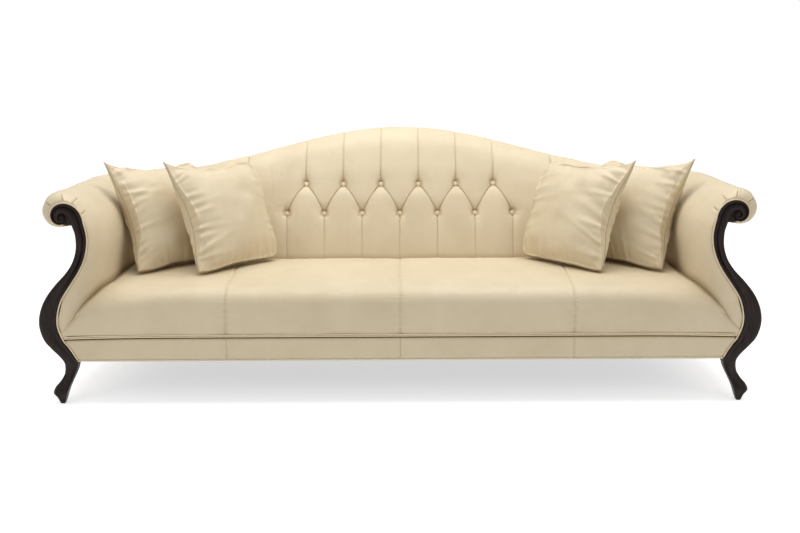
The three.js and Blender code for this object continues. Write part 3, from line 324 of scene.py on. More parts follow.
# The carved stump's outline, drawn for the side with positive X. Each row pairs a point on the outer
# edge with one on the inner edge, from the sole to the volute: outer and inner reach from the neck,
# outer and inner height, then front and back inset.
STUMP_SHARES = np.array([
    [0.7, 0.62, 0, 0, 0.3, 0.25], [0.75, 0.588, 0.027, 0.024, 0.22, 0.2],
    [0.82, 0.551, 0.054, 0.056, 0.05, 0.12], [0.782, 0.505, 0.083, 0.085, 0.12, 0.12],
    [0.685, 0.444, 0.113, 0.118, 0.22, 0.12],
    [0.606, 0.38, 0.146, 0.151, 0.25, 0.1], [0.579, 0.333, 0.18, 0.183, 0.2, 0.05],
    [0.588, 0.315, 0.212, 0.215, 0.1, 0], [0.671, 0.375, 0.246, 0.249, 0.03, 0],
    [0.81, 0.472, 0.285, 0.291, 0, 0],
    [0.935, 0.574, 0.329, 0.329, 0, 0], [1, 0.657, 0.396, 0.4, 0, 0], [0.968, 0.634, 0.466, 0.47, 0, 0],
    [0.847, 0.542, 0.537, 0.538, 0, 0], [0.648, 0.37, 0.604, 0.606, 0, 0],
    [0.449, 0.208, 0.659, 0.668, 0, 0], [0.301, 0.088, 0.715, 0.728, 0, 0],
    [0.218, 0.023, 0.78, 0.787, 0, 0], [0.213, 0.005, 0.848, 0.844, 0, 0],
    [0.259, 0.032, 0.894, 0.893, 0, 0],
])
STUMP_END = len(STUMP_SHARES) - 1
STUMP_REACH = 0.216
STUMP_TOP = 0.82
STUMP_DEPTH = 0.055
FRONT_Y = -0.47
NECK_X = STUMP_HIGH.x - STUMP_REACH
VOLUTE_EYE = (STUMP_HIGH.x - 0.122, 0.768)
VOLUTE_RADIUS = 0.08
VOLUTE_SHRINK = 0.68


def stump_edges(t):
    """Outer and inner edge points in X and Z, and the front and back in Y, at places t along the stump."""
    rows = spline(np.broadcast_to(STUMP_SHARES, (len(t), *STUMP_SHARES.shape)), t)
    outer = np.stack([NECK_X + rows[:, 0] * STUMP_REACH, np.maximum(rows[:, 2], 0) * STUMP_TOP], axis=1)
    inner = np.stack([NECK_X + rows[:, 1] * STUMP_REACH, np.maximum(rows[:, 3], 0) * STUMP_TOP], axis=1)
    near = FRONT_Y + np.maximum(rows[:, 4], 0) * STUMP_DEPTH
    far = FRONT_Y + (1 - np.maximum(rows[:, 5], 0)) * STUMP_DEPTH
    return outer, inner, near, far


def inner_edge(gap, count=160):
    """The stump's inner edge from the ankle to the volute, a gap away from it, in X and Z."""
    edge = stump_edges(np.linspace(1, STUMP_END, count))[1]
    along = np.gradient(edge, axis=0)
    along /= np.linalg.norm(along, axis=1)[:, None]
    return edge + gap * np.stack([-along[:, 1], along[:, 0]], axis=1)


def inner_edge_x(z, gap=0.0):
    edge = inner_edge(gap)
    order = np.argsort(edge[:, 1])
    return np.interp(z, edge[order, 1], edge[order, 0])


def volute_rim(degrees, inset=0.0):
    """The volute's spiral rim in X and Z: degrees run from the neck over the top to the outside."""
    degrees = np.asarray(degrees, float)
    return round_the_eye(VOLUTE_RADIUS * VOLUTE_SHRINK ** (degrees / 90) - inset, degrees)


def round_the_eye(radius, degrees):
    angle = np.radians(degrees)
    x, z = VOLUTE_EYE
    return np.stack([x - radius * np.cos(angle), z + radius * np.sin(angle)], axis=-1)


# The padding follows one crest line: p is the distance along it from the middle of the back.
CREST_FRONT_X, CREST_REAR_X = 1.345, 1.325
CORNER_BACK, CORNER_ARM = 0.315, 0.31
CREST_Y = -FRONT_Y - 0.06
CREST_SETBACK = 0.06
BACK_RUN = CREST_REAR_X - CORNER_BACK
CORNER_RUN = math.pi / 4 * (CORNER_BACK + CORNER_ARM)
PAD_FRONT_Y = FRONT_Y + 0.0099
ARM_RUN = CREST_Y - CORNER_ARM - PAD_FRONT_Y
CREST_RUN = BACK_RUN + CORNER_RUN + ARM_RUN
SEAM_RUN = BACK_RUN + CORNER_RUN / 2
PAD_BOTTOM = 0.4
BACK_RAKE = 0.285
SEAM_GAP = 0.0005
ARM_START_SHARE = 0.85
ROUNDING_INSIDE, ROUNDING_ROLL, ROUNDING_POWER = 0.24, 0.08, 1.15
ROLL_FROM, ROLL_FADE = 4, 3

# The section from the seat up the face and over the roll: outward and height shares.
ARM_SECTION_SHARES = np.array([
    [-1.47, 0.335], [-1.66, 0.42], [-1.9, 0.52], [-2.1, 0.64], [-2.2, 0.745], [-1.98, 0.837],
    [-1.36, 0.923], [-0.68, 0.98], [0, 1], [0.61, 0.984], [0.98, 0.935], [1, 0.889], [0.68, 0.846],
    [0.1, 0.83], [-0.6, 0.837],
])
BACK_FACE_SHARES = np.array([
    [-1, 0], [-0.955, 0.09], [-0.895, 0.212], [-0.815, 0.348], [-0.72, 0.485], [-0.6, 0.621],
    [-0.455, 0.768], [-0.25, 0.925], [0, 1],
])
BACK_ROLL_SHARES = np.array([
    [0.66, 0.26], [0.93, 0.8], [0.937, 1.35], [0.84, 1.9], [0.77, 2.4], [0.72, 2.85],
])
# Places along the crest and how far it has settled there.
CREST_SETTLED = (
    np.array([BACK_RUN * 0.8, BACK_RUN * 0.95, SEAM_RUN - 0.08, SEAM_RUN + 0.08, CREST_RUN - 0.2,
              CREST_RUN - 0.08, CREST_RUN]),
    np.array([0, 0.01, 0.021, 0.021, 0.014, 0.009, 0.006]),
)
SETTLED_FROM, SETTLED_TO, SETTLED_FADE = 4.5, 9.5, 2.5
SECTION_END = len(ARM_SECTION_SHARES) - 1
RIM_HEIGHT_SHARES = np.array([0.354, 0.42, 0.55, 0.665, 0.775, 0.854])
RIM_ANGLES = np.array([-12, 35, 80, 120, 165, 190, 215, 245, 285])
RIM_COUNT = len(RIM_HEIGHT_SHARES) + len(RIM_ANGLES)
RIM_GAP, LINING_GAP = 0.0083, 0.0045
# Places over the section: where the crest is, and where the rim follows the stump's straight edge.
CREST_PLACE, EDGE_PLACE = 8, 5
LINING_ROWS = 15
LINING_SHARE, LINING_REST = 0.9, 0.003
NORMAL_STEP, NORMAL_ROW_STEP = 0.0008, 0.03


def plan_points(p):
    """Where the crest line runs, and which way is outward from it, in X and Y."""
    along, side = np.abs(p), np.where(p < 0, -1.0, 1.0)
    angle = np.clip((along - BACK_RUN) / CORNER_RUN, 0, 1) * math.pi / 2
    past = np.maximum(along - BACK_RUN - CORNER_RUN, 0)
    x = (np.minimum(along, BACK_RUN) + CORNER_BACK * np.sin(angle)
         + (CREST_FRONT_X - CREST_REAR_X) * past / ARM_RUN)
    y = CREST_Y - CORNER_ARM * (1 - np.cos(angle)) - past
    nx, ny = np.sin(angle) / CORNER_BACK, np.cos(angle) / CORNER_ARM
    length = np.hypot(nx, ny)
    return side * x, y, side * nx / length, ny / length


def placed(p, outward, z):
    """Points outward from the crest line, for p (m) and outward and z (m, n)."""
    x, y, nx, ny = (value[:, None] for value in plan_points(p))
    return np.stack([x + nx * outward, y + ny * outward, z], axis=-1)


def arm_share(p):
    """From 0 on the back to 1 on the arm."""
    start = BACK_RUN * ARM_START_SHARE
    return smooth((np.abs(p) - start) / (BACK_RUN + CORNER_RUN - start))


def crest_height(p):
    s = sizes()
    along = np.minimum(np.abs(p), s.camel_half_span)
    bell = (1 + np.cos(math.pi * along / s.camel_half_span)) / 2
    return lerp(s.shoulder_height, s.arm_height, arm_share(p)) + (s.camel_height - s.shoulder_height) * bell


def with_heights(outward, heights):
    return np.stack([np.broadcast_to(outward, heights.shape), heights], axis=-1)


def section_controls(p):
    """The section's control points at each p, as outward reach and height."""
    top, share = crest_height(p)[:, None], arm_share(p)[:, None]
    face = with_heights(BACK_FACE_SHARES[:, 0] * BACK_RAKE, lerp(PAD_BOTTOM, top, BACK_FACE_SHARES[:, 1]))
    roll = with_heights(BACK_ROLL_SHARES[:, 0] * CREST_SETBACK, top - BACK_ROLL_SHARES[:, 1] * CREST_SETBACK)
    back = np.concatenate([face, roll], axis=1)
    arm = with_heights(ARM_SECTION_SHARES[:, 0] * sizes().roll_radius, ARM_SECTION_SHARES[:, 1] * top)
    return lerp(back, arm, share[..., None])


def rim_start():
    """The X from which the section's outward reach counts at the front."""
    return plan_points(np.array([CREST_RUN]))[0][0]


def rim_controls(gap=RIM_GAP):
    """Where the leather meets the stump, a gap away from its edge and its volute."""
    z = RIM_HEIGHT_SHARES * STUMP_TOP
    edge = np.stack([inner_edge_x(z, gap) - rim_start(), z], axis=1)
    coil = volute_rim(RIM_ANGLES, -gap) - [rim_start(), 0]
    return np.concatenate([edge, coil])


def rim_at(v, gap=RIM_GAP):
    return spline(np.broadcast_to(rim_controls(gap), (*v.shape, RIM_COUNT, 2)), v)


def settled(p, v):
    """How far the roll has settled below its frame's line, most at the rear corners."""
    along = np.interp(np.abs(p), *CREST_SETTLED)[:, None]
    return along * smooth((v - SETTLED_FROM) / SETTLED_FADE) * (1 - smooth((v - SETTLED_TO) / SETTLED_FADE))


def skin(p, v, settling=1.0):
    """The leather's surface at p (m) and v (m, n), v running over the section."""
    points = spline(section_controls(p)[:, None], v)
    outward, z = points[..., 0], points[..., 1] - settled(p, v) * settling
    reach = lerp(ROUNDING_INSIDE, ROUNDING_ROLL, smooth((v - ROLL_FROM) / ROLL_FADE))
    forward = np.clip(1 - (CREST_RUN - np.abs(p))[:, None] / reach, 0, 1)
    share = np.sqrt(1 - forward**2) ** ROUNDING_POWER
    rim = rim_at(v)
    straight = inner_edge_x(rim[..., 1], RIM_GAP) - rim_start()
    beside = lerp(rim[..., 0], straight, np.clip(EDGE_PLACE - v, 0, 1))
    return placed(p, lerp(beside, outward, share), lerp(rim[..., 1], z, share))


def skin_normals(p, v, settling=1.0):
    across = skin(p + NORMAL_STEP, v, settling) - skin(p - NORMAL_STEP, v, settling)
    above, below = np.minimum(v + NORMAL_ROW_STEP, SECTION_END), np.maximum(v - NORMAL_ROW_STEP, 0)
    normal = np.cross(across, skin(p, above, settling) - skin(p, below, settling))
    return normal / np.maximum(np.linalg.norm(normal, axis=-1), 1e-12)[..., None]


def lining(p, v):
    """The coarse side of the padding that faces the frame."""
    thickness = sizes().pad_thickness * LINING_SHARE
    depth = (CREST_RUN - np.abs(p))[:, None, None]
    inside = skin(p, v, 0) - skin_normals(p, v, 0) * thickness
    rim = rim_at(v, LINING_GAP)
    return np.where(depth < STUMP_DEPTH + LINING_REST, placed(p, rim[..., 0], rim[..., 1]), inside)


def seam_dip(distance, depth=0.0035, width=0.006):
    """How far leather is drawn in beside a seam."""
    return depth * np.exp(-((distance / width) ** 2))


# A wrinkle's finer swell, its ridges' width and stretch in height, and the share of swells and ridges.
FINER_SWELL, RIDGE_SCALE, RIDGE_STRETCH = 2.1, 0.42, 0.45
SWELL_SHARE, RIDGE_SHARE, RIDGE_MEAN = 0.6, 0.7, 0.35
# The wrinkles of each cover: how deep they are, their seed and the width of a swell.
ARM_WRINKLES, WING_WRINKLES = (0.0016, 5), (0.0015, 21)
PANEL_WRINKLES, SEAT_WRINKLES, BORDER_WRINKLES = (0.0008, 33, 0.09), (0.0022, 71, 0.12), (0.0011, 83, 0.11)


def soft_wrinkles(points, amount, seed, scale=0.085):
    """Shallow creases and swells that stretched leather shows."""
    flat = points.reshape(-1, 3)
    swell = value_noise(flat, scale, seed) + 0.5 * value_noise(flat, scale / FINER_SWELL, seed + 1)
    ridge = 1 - np.abs(value_noise(flat * [1, 1, RIDGE_STRETCH], scale * RIDGE_SCALE, seed + 2))
    return (amount * (SWELL_SHARE * swell + RIDGE_SHARE * (ridge**3 - RIDGE_MEAN))).reshape(points.shape[:-1])


# The pleats that gather the rolled arm's leather at the volute: places round the roll at the cord, half
# way and at the far end, and how far back the last two lie.
PLEATS = np.array([
    [9.16, 9.3, 9.43, 0.012, 0.034], [7.95, 7.86, 7.81, 0.0085, 0.038], [7.18, 6.85, 6.68, 0.0205, 0.07],
    [6.36, 6.15, 5.98, 0.0165, 0.05],
])
PLEAT_DEPTH, PLEAT_HALF, PLEAT_START = 0.0046, 0.032, 0.0025
PLEAT_FADE_FROM, PLEAT_FADE_RUN = 0.6, 0.6
PLEAT_SWELL, SWELL_PLACE, SWELL_HALF = 0.0012, 0.13, 0.075
# How far behind the cord the arm's own wrinkles reach their full depth.
WRINKLE_START = 0.05


def volute_pleats(p, v):
    """How far the leather is drawn in along the pleats at the volute."""
    depth = (CREST_RUN - np.abs(p))[:, None]
    drawn = np.zeros(v.shape)
    for start, middle, end, near, far in PLEATS:
        away = np.abs(v - np.interp(depth, [0, near, far], [start, middle, end]))
        fade = 1 - smooth((depth / far - PLEAT_FADE_FROM) / PLEAT_FADE_RUN)
        drawn += fade * (PLEAT_DEPTH * np.exp(-((away / PLEAT_HALF) ** 2))
                         - PLEAT_SWELL * np.exp(-(((away - SWELL_PLACE) / SWELL_HALF) ** 2)))
    return drawn * smooth(depth / PLEAT_START)


# The arm's stations at its rounding and along the rest, and how far the first crowd to the front.
FRONT_STATIONS, ALONG_STATIONS, FRONT_CROWDING = 46, 84, 2.2
# Places over the section at shares of its rows, which lie closest together where the detail is.
ARM_ROW_PLACES = (0, 0.26, 0.8, 1), (0, 5.8, 9.7, SECTION_END)
PANEL_ROW_PLACES = (0, 0.03, 0.09, 0.68, 0.86, 1), (0, 0.8, 1.6, 6.6, 9, SECTION_END)


def arm_stations():
    """Places along the arm, closest together where it rounds to the stump."""
    front = CREST_RUN - ROUNDING_INSIDE * np.linspace(0, 1, FRONT_STATIONS) ** FRONT_CROWDING
    along = np.linspace(CREST_RUN - ROUNDING_INSIDE, SEAM_RUN + SEAM_GAP / 2, ALONG_STATIONS)[1:]
    return np.concatenate([front, along])


def section_rows(count):
    return np.linspace(0, SECTION_END, count)


def crowded_rows(count, shares, places):
    return np.interp(np.linspace(0, 1, count), shares, places)


def lining_rows(p):
    return np.broadcast_to(section_rows(LINING_ROWS), (len(p), LINING_ROWS))


def padded_panel(name, p, back_p, relief, material, places):
    """A panel of the padding, its leather moved inwards by its relief."""
    v = np.broadcast_to(places, (len(p), len(places)))
    points = skin(p, v)
    front = points - skin_normals(p, v) * relief(p, v, points)[..., None]
    return pad_object(name, front, lining(back_p, lining_rows(back_p)), material)


def arm_relief(p, v, points):
    fade = smooth((CREST_RUN - np.abs(p)) / WRINKLE_START)[:, None]
    roll = smooth((v - CREST_PLACE + 1) / 2) * 0.5 + 0.5
    return (seam_dip((np.abs(p) - SEAM_RUN)[:, None]) + volute_pleats(p, v)
            + fade * soft_wrinkles(points, *ARM_WRINKLES) * roll)


def wing_relief(p, v, points):
    dip = seam_dip((SEAM_RUN - np.abs(p))[:, None]) + seam_dip((np.abs(p) - sizes().panel_half)[:, None])
    return dip + soft_wrinkles(points, *WING_WRINKLES)


# The tufted panel

# How a fold between the rows bows, and its depth, more at a button, with its width.
FOLD_STRAIGHT, FOLD_BOW = 0.72, 2.2
FOLD_DEPTH, FOLD_DEPTH_MORE, FOLD_WIDTH = 0.0042, 0.002, 0.0024
# The soft valley that the fold lies in.
VALLEY_DEPTH, VALLEY_DEPTH_MORE, VALLEY_WIDTH = 0.0014, 0.0042, 0.014
# The dimple at a button: share of the tuft's depth, radii of its bowl, its well and the stretched leather.
DIMPLE_SHARE, BOWL_RADIUS, WELL_RADIUS, STRETCH_RADIUS = 0.36, 0.034, 0.0172, 0.05
TUFT_CROWN, TUFT_CROWN_WIDTH = 0.0018, 0.06
TUFT_REACH = 3.2
# Where the folds fade: over the crest, towards the seat, and beside the panel's seam and its last folds.
FADE_BEFORE_CREST, FADE_OVER_CREST = 0.9, 3.4
LOW_SHARE, LOW_REACH = 0.6, 0.05
EDGE_FADE, OUTER_FADE = 0.03, 0.02
VALLEY_UNTIL, VALLEY_FADE = 5.8, 1.9


def tuft_spots():
    pitch = sizes().tuft_pitch
    return (np.arange(7) - 3) * pitch, (np.arange(6) - 2.5) * pitch


def nearest_spot(spots, x):
    return np.min(np.abs(x[..., None] - spots), axis=-1)


def fold_distance(x, z, v):
    """Distance to the nearest fold. Between the rows the folds bow from button to button, and above and
    below them they run straight."""
    s = sizes()
    lower, upper = tuft_spots()
    up = np.clip((z - s.tuft_lower) / (s.tuft_upper - s.tuft_lower), 0, 1)
    half = (FOLD_STRAIGHT * up + (1 - FOLD_STRAIGHT) * up**FOLD_BOW) * s.tuft_pitch / 2
    slant = math.cos(math.atan(s.tuft_pitch / 2 / (s.tuft_upper - s.tuft_lower)))
    nearest = np.full(x.shape, np.inf)
    for spot in lower:
        for side in (-1, 1):
            if abs(spot + side * s.tuft_pitch / 2) < s.tuft_pitch * 3:
                nearest = np.minimum(nearest, np.abs(x - spot - side * half) * slant)
    past = (z >= s.tuft_upper) | (v > CREST_PLACE)
    straight = np.where(past, nearest_spot(upper, x), nearest_spot(lower, x))
    return np.where((up > 0) & (up < 1) & (v <= CREST_PLACE), nearest, straight)


# Short creases that run into each button: angle from straight up, length and depth.
BUTTON_CREASES = np.radians([-24, 22, 0]), np.array([0.034, 0.03, 0.02]), np.array([0.0026, 0.0022, 0.001])
LOWER_CREASES = np.radians([-142, 138]), np.array([0.03, 0.034]), np.array([0.0016, 0.0018])
CREASE_START, CREASE_FADE_IN, CREASE_WIDTH, CREASE_BEND = 0.006, 0.008, 0.0032, 0.25
CREASE_FADE_FROM, CREASE_FADE_RUN = 0.5, 0.6


def crease_fan(x, z, fan):
    drawn = np.zeros(x.shape)
    for angle, length, depth in zip(*fan):
        along = x * math.sin(angle) + z * math.cos(angle)
        bend = CREASE_BEND * along**2 / length * np.sign(angle)
        across = x * math.cos(angle) - z * math.sin(angle) + bend
        starting = smooth((along - CREASE_START) / CREASE_FADE_IN)
        ending = 1 - smooth((along - length * CREASE_FADE_FROM) / (length * CREASE_FADE_RUN))
        drawn += depth * starting * ending * np.exp(-((across / CREASE_WIDTH) ** 2))
    return drawn


def tuft_relief(p, v, points):
    """How far the tufted leather is drawn in: folds, dimples and creases, fading towards the crest."""
    s = sizes()
    x, z = np.broadcast_to(p[:, None], v.shape), points[..., 2]
    lower, upper = tuft_spots()
    face = v <= CREST_PLACE
    dimple, reach = np.zeros(v.shape), np.zeros(v.shape)
    for height, row in ((s.tuft_lower, lower), (s.tuft_upper, upper)):
        for spot in row:
            away = np.hypot(x - spot, z - height)
            hollow = np.exp(-((away / BOWL_RADIUS) ** 2)) + np.exp(-((away / WELL_RADIUS) ** 4))
            dimple += face * s.tuft_depth * DIMPLE_SHARE * hollow
            reach = np.maximum(reach, face * np.exp(-((away / STRETCH_RADIUS) ** 2)))
            dimple += face * crease_fan(x - spot, z - height, BUTTON_CREASES)
            if row is lower:
                dimple += face * crease_fan(x - spot, z - height, LOWER_CREASES)
    behind = 1 - smooth((v - CREST_PLACE + FADE_BEFORE_CREST) / FADE_OVER_CREST)
    rising = smooth((z - PAD_BOTTOM - LOW_REACH) / (s.tuft_lower - PAD_BOTTOM - LOW_REACH))
    low = LOW_SHARE + (1 - LOW_SHARE) * rising
    edge = smooth((s.panel_half - np.abs(x)) / EDGE_FADE)
    outer = smooth((s.tuft_pitch * TUFT_REACH - np.abs(x)) / OUTER_FADE)
    distance = fold_distance(x, z, v)
    fold = (FOLD_DEPTH + FOLD_DEPTH_MORE * reach) * np.exp(-((distance / FOLD_WIDTH) ** 2))
    valley = (VALLEY_DEPTH + VALLEY_DEPTH_MORE * reach) * np.exp(-((distance / VALLEY_WIDTH) ** 2))
    full = behind * (1 - smooth((v - VALLEY_UNTIL) / VALLEY_FADE))
    crown = TUFT_CROWN * smooth(distance / TUFT_CROWN_WIDTH)
    return (edge * outer * low * (behind * fold + full * valley) - edge * full * low * crown + dimple
            + seam_dip(s.panel_half - np.abs(x)) + soft_wrinkles(points, *PANEL_WRINKLES))


def panel_place(x, z):
    """The section parameter at which the tufted face reaches a height."""
    v = np.linspace(0, CREST_PLACE, 800)
    heights = spline(section_controls(np.array([x]))[:, None], v[None])[0, :, 1]
    return float(np.interp(z, heights, v))


# Materials

def new_material(name):
    material = bpy.data.materials.new(name)
    material.use_nodes = True
    nodes = material.node_tree.nodes
    nodes.clear()
    output = nodes.new("ShaderNodeOutputMaterial")
    shader = nodes.new("ShaderNodeBsdfPrincipled")
    material.node_tree.links.new(shader.outputs["BSDF"], output.inputs["Surface"])
    return material, shader


def set_inputs(made, values):
    for key, value in dict(values).items():
        made.inputs[key].default_value = value


def node(material, kind, values=(), **settings):
    made = material.node_tree.nodes.new(kind)
    for key, value in settings.items():
        setattr(made, key, value)
    set_inputs(made, values)
    return made


def link(material, source, target):
    material.node_tree.links.new(source, target)


def surface_place(material, scale=(1, 1, 1)):
    """Coordinates in metres on the piece itself, stretched by scale."""
    place = node(material, "ShaderNodeTexCoord")
    mapping = node(material, "ShaderNodeMapping", {"Scale": scale})
    link(material, place.outputs["Object"], mapping.inputs["Vector"])
    return mapping.outputs["Vector"]


def ramp(material, source, stops):
    made = node(material, "ShaderNodeValToRGB")
    elements = made.color_ramp.elements
    while len(elements) < len(stops):
        elements.new(0.5)
    for element, (place, colour) in zip(elements, stops):
        element.position = place
        element.color = (*colour, 1)
    link(material, source, made.inputs["Fac"])
    return made.outputs["Color"]


def bumped(material, source, distance, strength, below=None):
    bump = node(material, "ShaderNodeBump", {"Distance": distance, "Strength": strength})
    link(material, source, bump.inputs["Height"])
    if below is not None:
        link(material, below, bump.inputs["Normal"])
    return bump.outputs["Normal"]


def mixed(material, kind, first, second, factor):
    made = node(material, "ShaderNodeMix", data_type="RGBA", blend_type=kind)
    if isinstance(factor, float):
        made.inputs["Factor"].default_value = factor
    else:
        link(material, factor, made.inputs["Factor"])
    for socket, value in (("A", first), ("B", second)):
        target = next(i for i in made.inputs if i.name == socket and i.type == "RGBA")
        if isinstance(value, tuple):
            target.default_value = (*value, 1)
        else:
            link(material, value, target)
    return next(o for o in made.outputs if o.type == "RGBA")


# tone scales the whole colour: below 1 a darker copy as painted shade, above 1 a paler copy as painted
# highlight.
def leather_material(name, tone=1.0, grain=1.0, painted_shade=True):
    """Soft cream leather: pebbled grain, stretch creases, and a darker tone painted as shade where ambient
    occlusion finds it drawn in.
    """
    c = colours()
    material, shader = new_material(name)
    pale = tuple(min(1.0, channel * tone) for channel in c.leather)
    # deep is the painted shade tone; a fifth of it also tints the random cloudy dye.
    deep = tuple(channel * tone for channel in c.leather_painted_shade)
    cloud = node(material, "ShaderNodeTexNoise", {"Scale": 5.5, "Detail": 5.0, "Roughness": 0.6})
    link(material, surface_place(material), cloud.inputs["Vector"])
    dye = ramp(material, cloud.outputs["Fac"], [
        (0.3, tuple(lerp(a, b, 0.2) for a, b in zip(pale, deep))), (0.62, pale)])
    # Painted shade: ambient occlusion (hollow, drawn) mixes the deep tone in where the leather is drawn in.
    hollow = node(material, "ShaderNodeAmbientOcclusion", {"Distance": 0.035}, samples=6)
    drawn = ramp(material, hollow.outputs["AO"], [(0.35, (0, 0, 0)), (0.95, (1, 1, 1))])
    base = mixed(material, "MIX", deep, dye, drawn) if painted_shade else dye
    link(material, base, shader.inputs["Base Color"])
    pebble = node(material, "ShaderNodeTexVoronoi", {"Scale": 620.0, "Randomness": 1.0},
                  feature="DISTANCE_TO_EDGE")
    link(material, surface_place(material), pebble.inputs["Vector"])
    pores = ramp(material, pebble.outputs["Distance"], [(0.0, (0, 0, 0)), (0.22, (1, 1, 1))])
    crease = node(material, "ShaderNodeTexVoronoi", {"Scale": 46.0, "Randomness": 1.0},
                  feature="DISTANCE_TO_EDGE")
    wander = node(material, "ShaderNodeTexNoise", {"Scale": 30.0, "Detail": 3.0})
    link(material, surface_place(material, (1.0, 1.4, 0.8)), wander.inputs["Vector"])
    bent = mixed(material, "LINEAR_LIGHT", surface_place(material), wander.outputs["Color"], 0.03)
    link(material, bent, crease.inputs["Vector"])
    folds = ramp(material, crease.outputs["Distance"], [(0.0, (0, 0, 0)), (0.1, (1, 1, 1))])
    swell = node(material, "ShaderNodeTexNoise", {"Scale": 22.0, "Detail": 4.0, "Roughness": 0.55})
    link(material, surface_place(material, (1, 1, 0.7)), swell.inputs["Vector"])
    normal = bumped(material, swell.outputs["Fac"], 0.0022 * grain, 0.55)
    normal = bumped(material, folds, 0.0003 * grain, 0.35, normal)
    normal = bumped(material, pores, 0.00022 * grain, 0.5, normal)
    link(material, normal, shader.inputs["Normal"])
    rub = ramp(material, cloud.outputs["Fac"], [(0.3, (0.5,) * 3), (0.7, (0.4,) * 3)])
    link(material, rub, shader.inputs["Roughness"])
    set_inputs(shader, {"Specular IOR Level": 0.45, "Sheen Weight": 0.08, "Sheen Roughness": 0.4})
    return material


def espresso_material(name):
    """Dark polished hardwood: fine streaked grain, paler where it is rubbed, under a satin lacquer."""
    c = colours()
    material, shader = new_material(name)
    grain = node(material, "ShaderNodeTexNoise",
                 {"Scale": 9.0, "Detail": 9.0, "Roughness": 0.62, "Distortion": 0.7})
    link(material, surface_place(material, (5.0, 5.0, 0.9)), grain.inputs["Vector"])
    streak = node(material, "ShaderNodeTexNoise", {"Scale": 60.0, "Detail": 5.0, "Roughness": 0.7})
    link(material, surface_place(material, (6.0, 6.0, 0.35)), streak.inputs["Vector"])
    dark, worn = tuple(c.wood), tuple(c.wood_worn)
    tint = ramp(material, grain.outputs["Fac"], [
        (0.32, tuple(v * 0.65 for v in dark)), (0.5, dark), (0.72, worn)])
    lines = ramp(material, streak.outputs["Fac"], [(0.35, (0.6,) * 3), (0.65, (1.15,) * 3)])
    link(material, mixed(material, "MULTIPLY", tint, lines, 0.8), shader.inputs["Base Color"])
    normal = bumped(material, streak.outputs["Fac"], 0.0004, 0.3)
    normal = bumped(material, grain.outputs["Fac"], 0.0012, 0.22, normal)
    link(material, normal, shader.inputs["Normal"])
    wear = ramp(material, grain.outputs["Fac"], [(0.3, (0.46,) * 3), (0.7, (0.34,) * 3)])
    link(material, wear, shader.inputs["Roughness"])
    set_inputs(shader, {"Coat Weight": 0.05, "Coat Roughness": 0.3, "Specular IOR Level": 0.15})
    return material


def frame_wood_material(name):
    """Planed pale hardwood of the hidden frame, with growth rings and saw marks."""
    c = colours()
    material, shader = new_material(name)
    rings = node(material, "ShaderNodeTexWave", {"Scale": 5.0, "Distortion": 6.0, "Detail": 3.0},
                 wave_type="RINGS")
    link(material, surface_place(material, (0.8, 3.0, 3.0)), rings.inputs["Vector"])
    pale = tuple(c.frame_wood)
    tint = ramp(material, rings.outputs["Color"], [(0.2, tuple(v * 0.72 for v in pale)), (0.8, pale)])
    link(material, tint, shader.inputs["Base Color"])
    saw = node(material, "ShaderNodeTexNoise", {"Scale": 240.0, "Detail": 3.0})
    link(material, surface_place(material, (0.2, 1.0, 1.0)), saw.inputs["Vector"])
    link(material, bumped(material, saw.outputs["Fac"], 0.0006, 0.4), shader.inputs["Normal"])
    set_inputs(shader, {"Roughness": 0.72})
    return material


def woven_material(name, colour, thread, rough):
    """Plain weave of one thread over one, at a thread's width."""
    material, shader = new_material(name)
    waves = {"Scale": 1 / (thread * math.pi * 4), "Distortion": 0.6, "Detail": 1.0}
    threads = [node(material, "ShaderNodeTexWave", waves, bands_direction=way) for way in ("X", "Y")]
    for wave in threads:
        link(material, surface_place(material), wave.inputs["Vector"])
    weave = mixed(material, "LIGHTEN", threads[0].outputs["Color"], threads[1].outputs["Color"], 1.0)
    fibre = node(material, "ShaderNodeTexNoise", {"Scale": 180.0, "Detail": 4.0})
    link(material, surface_place(material), fibre.inputs["Vector"])
    colour = tuple(colour)
    shade = ramp(material, weave, [(0.2, tuple(v * 0.5 for v in colour)), (0.9, colour)])
    speckle = ramp(material, fibre.outputs["Fac"], [(0.35, (0.8,) * 3), (0.7, (1.0,) * 3)])
    link(material, mixed(material, "MULTIPLY", shade, speckle, 0.7), shader.inputs["Base Color"])
    link(material, bumped(material, weave, thread * 0.4, 0.6), shader.inputs["Normal"])
    set_inputs(shader, {"Roughness": rough, "Sheen Weight": 0.2})
    return material


def studio_floor_material(name):
    """White floor that keeps the soft shadow and otherwise reads as the white background."""
    material, shader = new_material(name)
    set_inputs(shader, {
        "Base Color": (0.9, 0.9, 0.9, 1), "Roughness": 0.8, "Specular IOR Level": 0.1,
        "Emission Color": (1, 1, 1, 1),
    })
    seen = node(material, "ShaderNodeLightPath")
    lifted = node(material, "ShaderNodeMath", operation="MAXIMUM")
    link(material, seen.outputs["Is Camera Ray"], lifted.inputs[0])
    link(material, seen.outputs["Is Glossy Ray"], lifted.inputs[1])
    share = node(material, "ShaderNodeMath", {1: 0.58}, operation="MULTIPLY")
    link(material, lifted.outputs["Value"], share.inputs[0])
    link(material, share.outputs["Value"], shader.inputs["Emission Strength"])
    return material


MATERIALS = {}


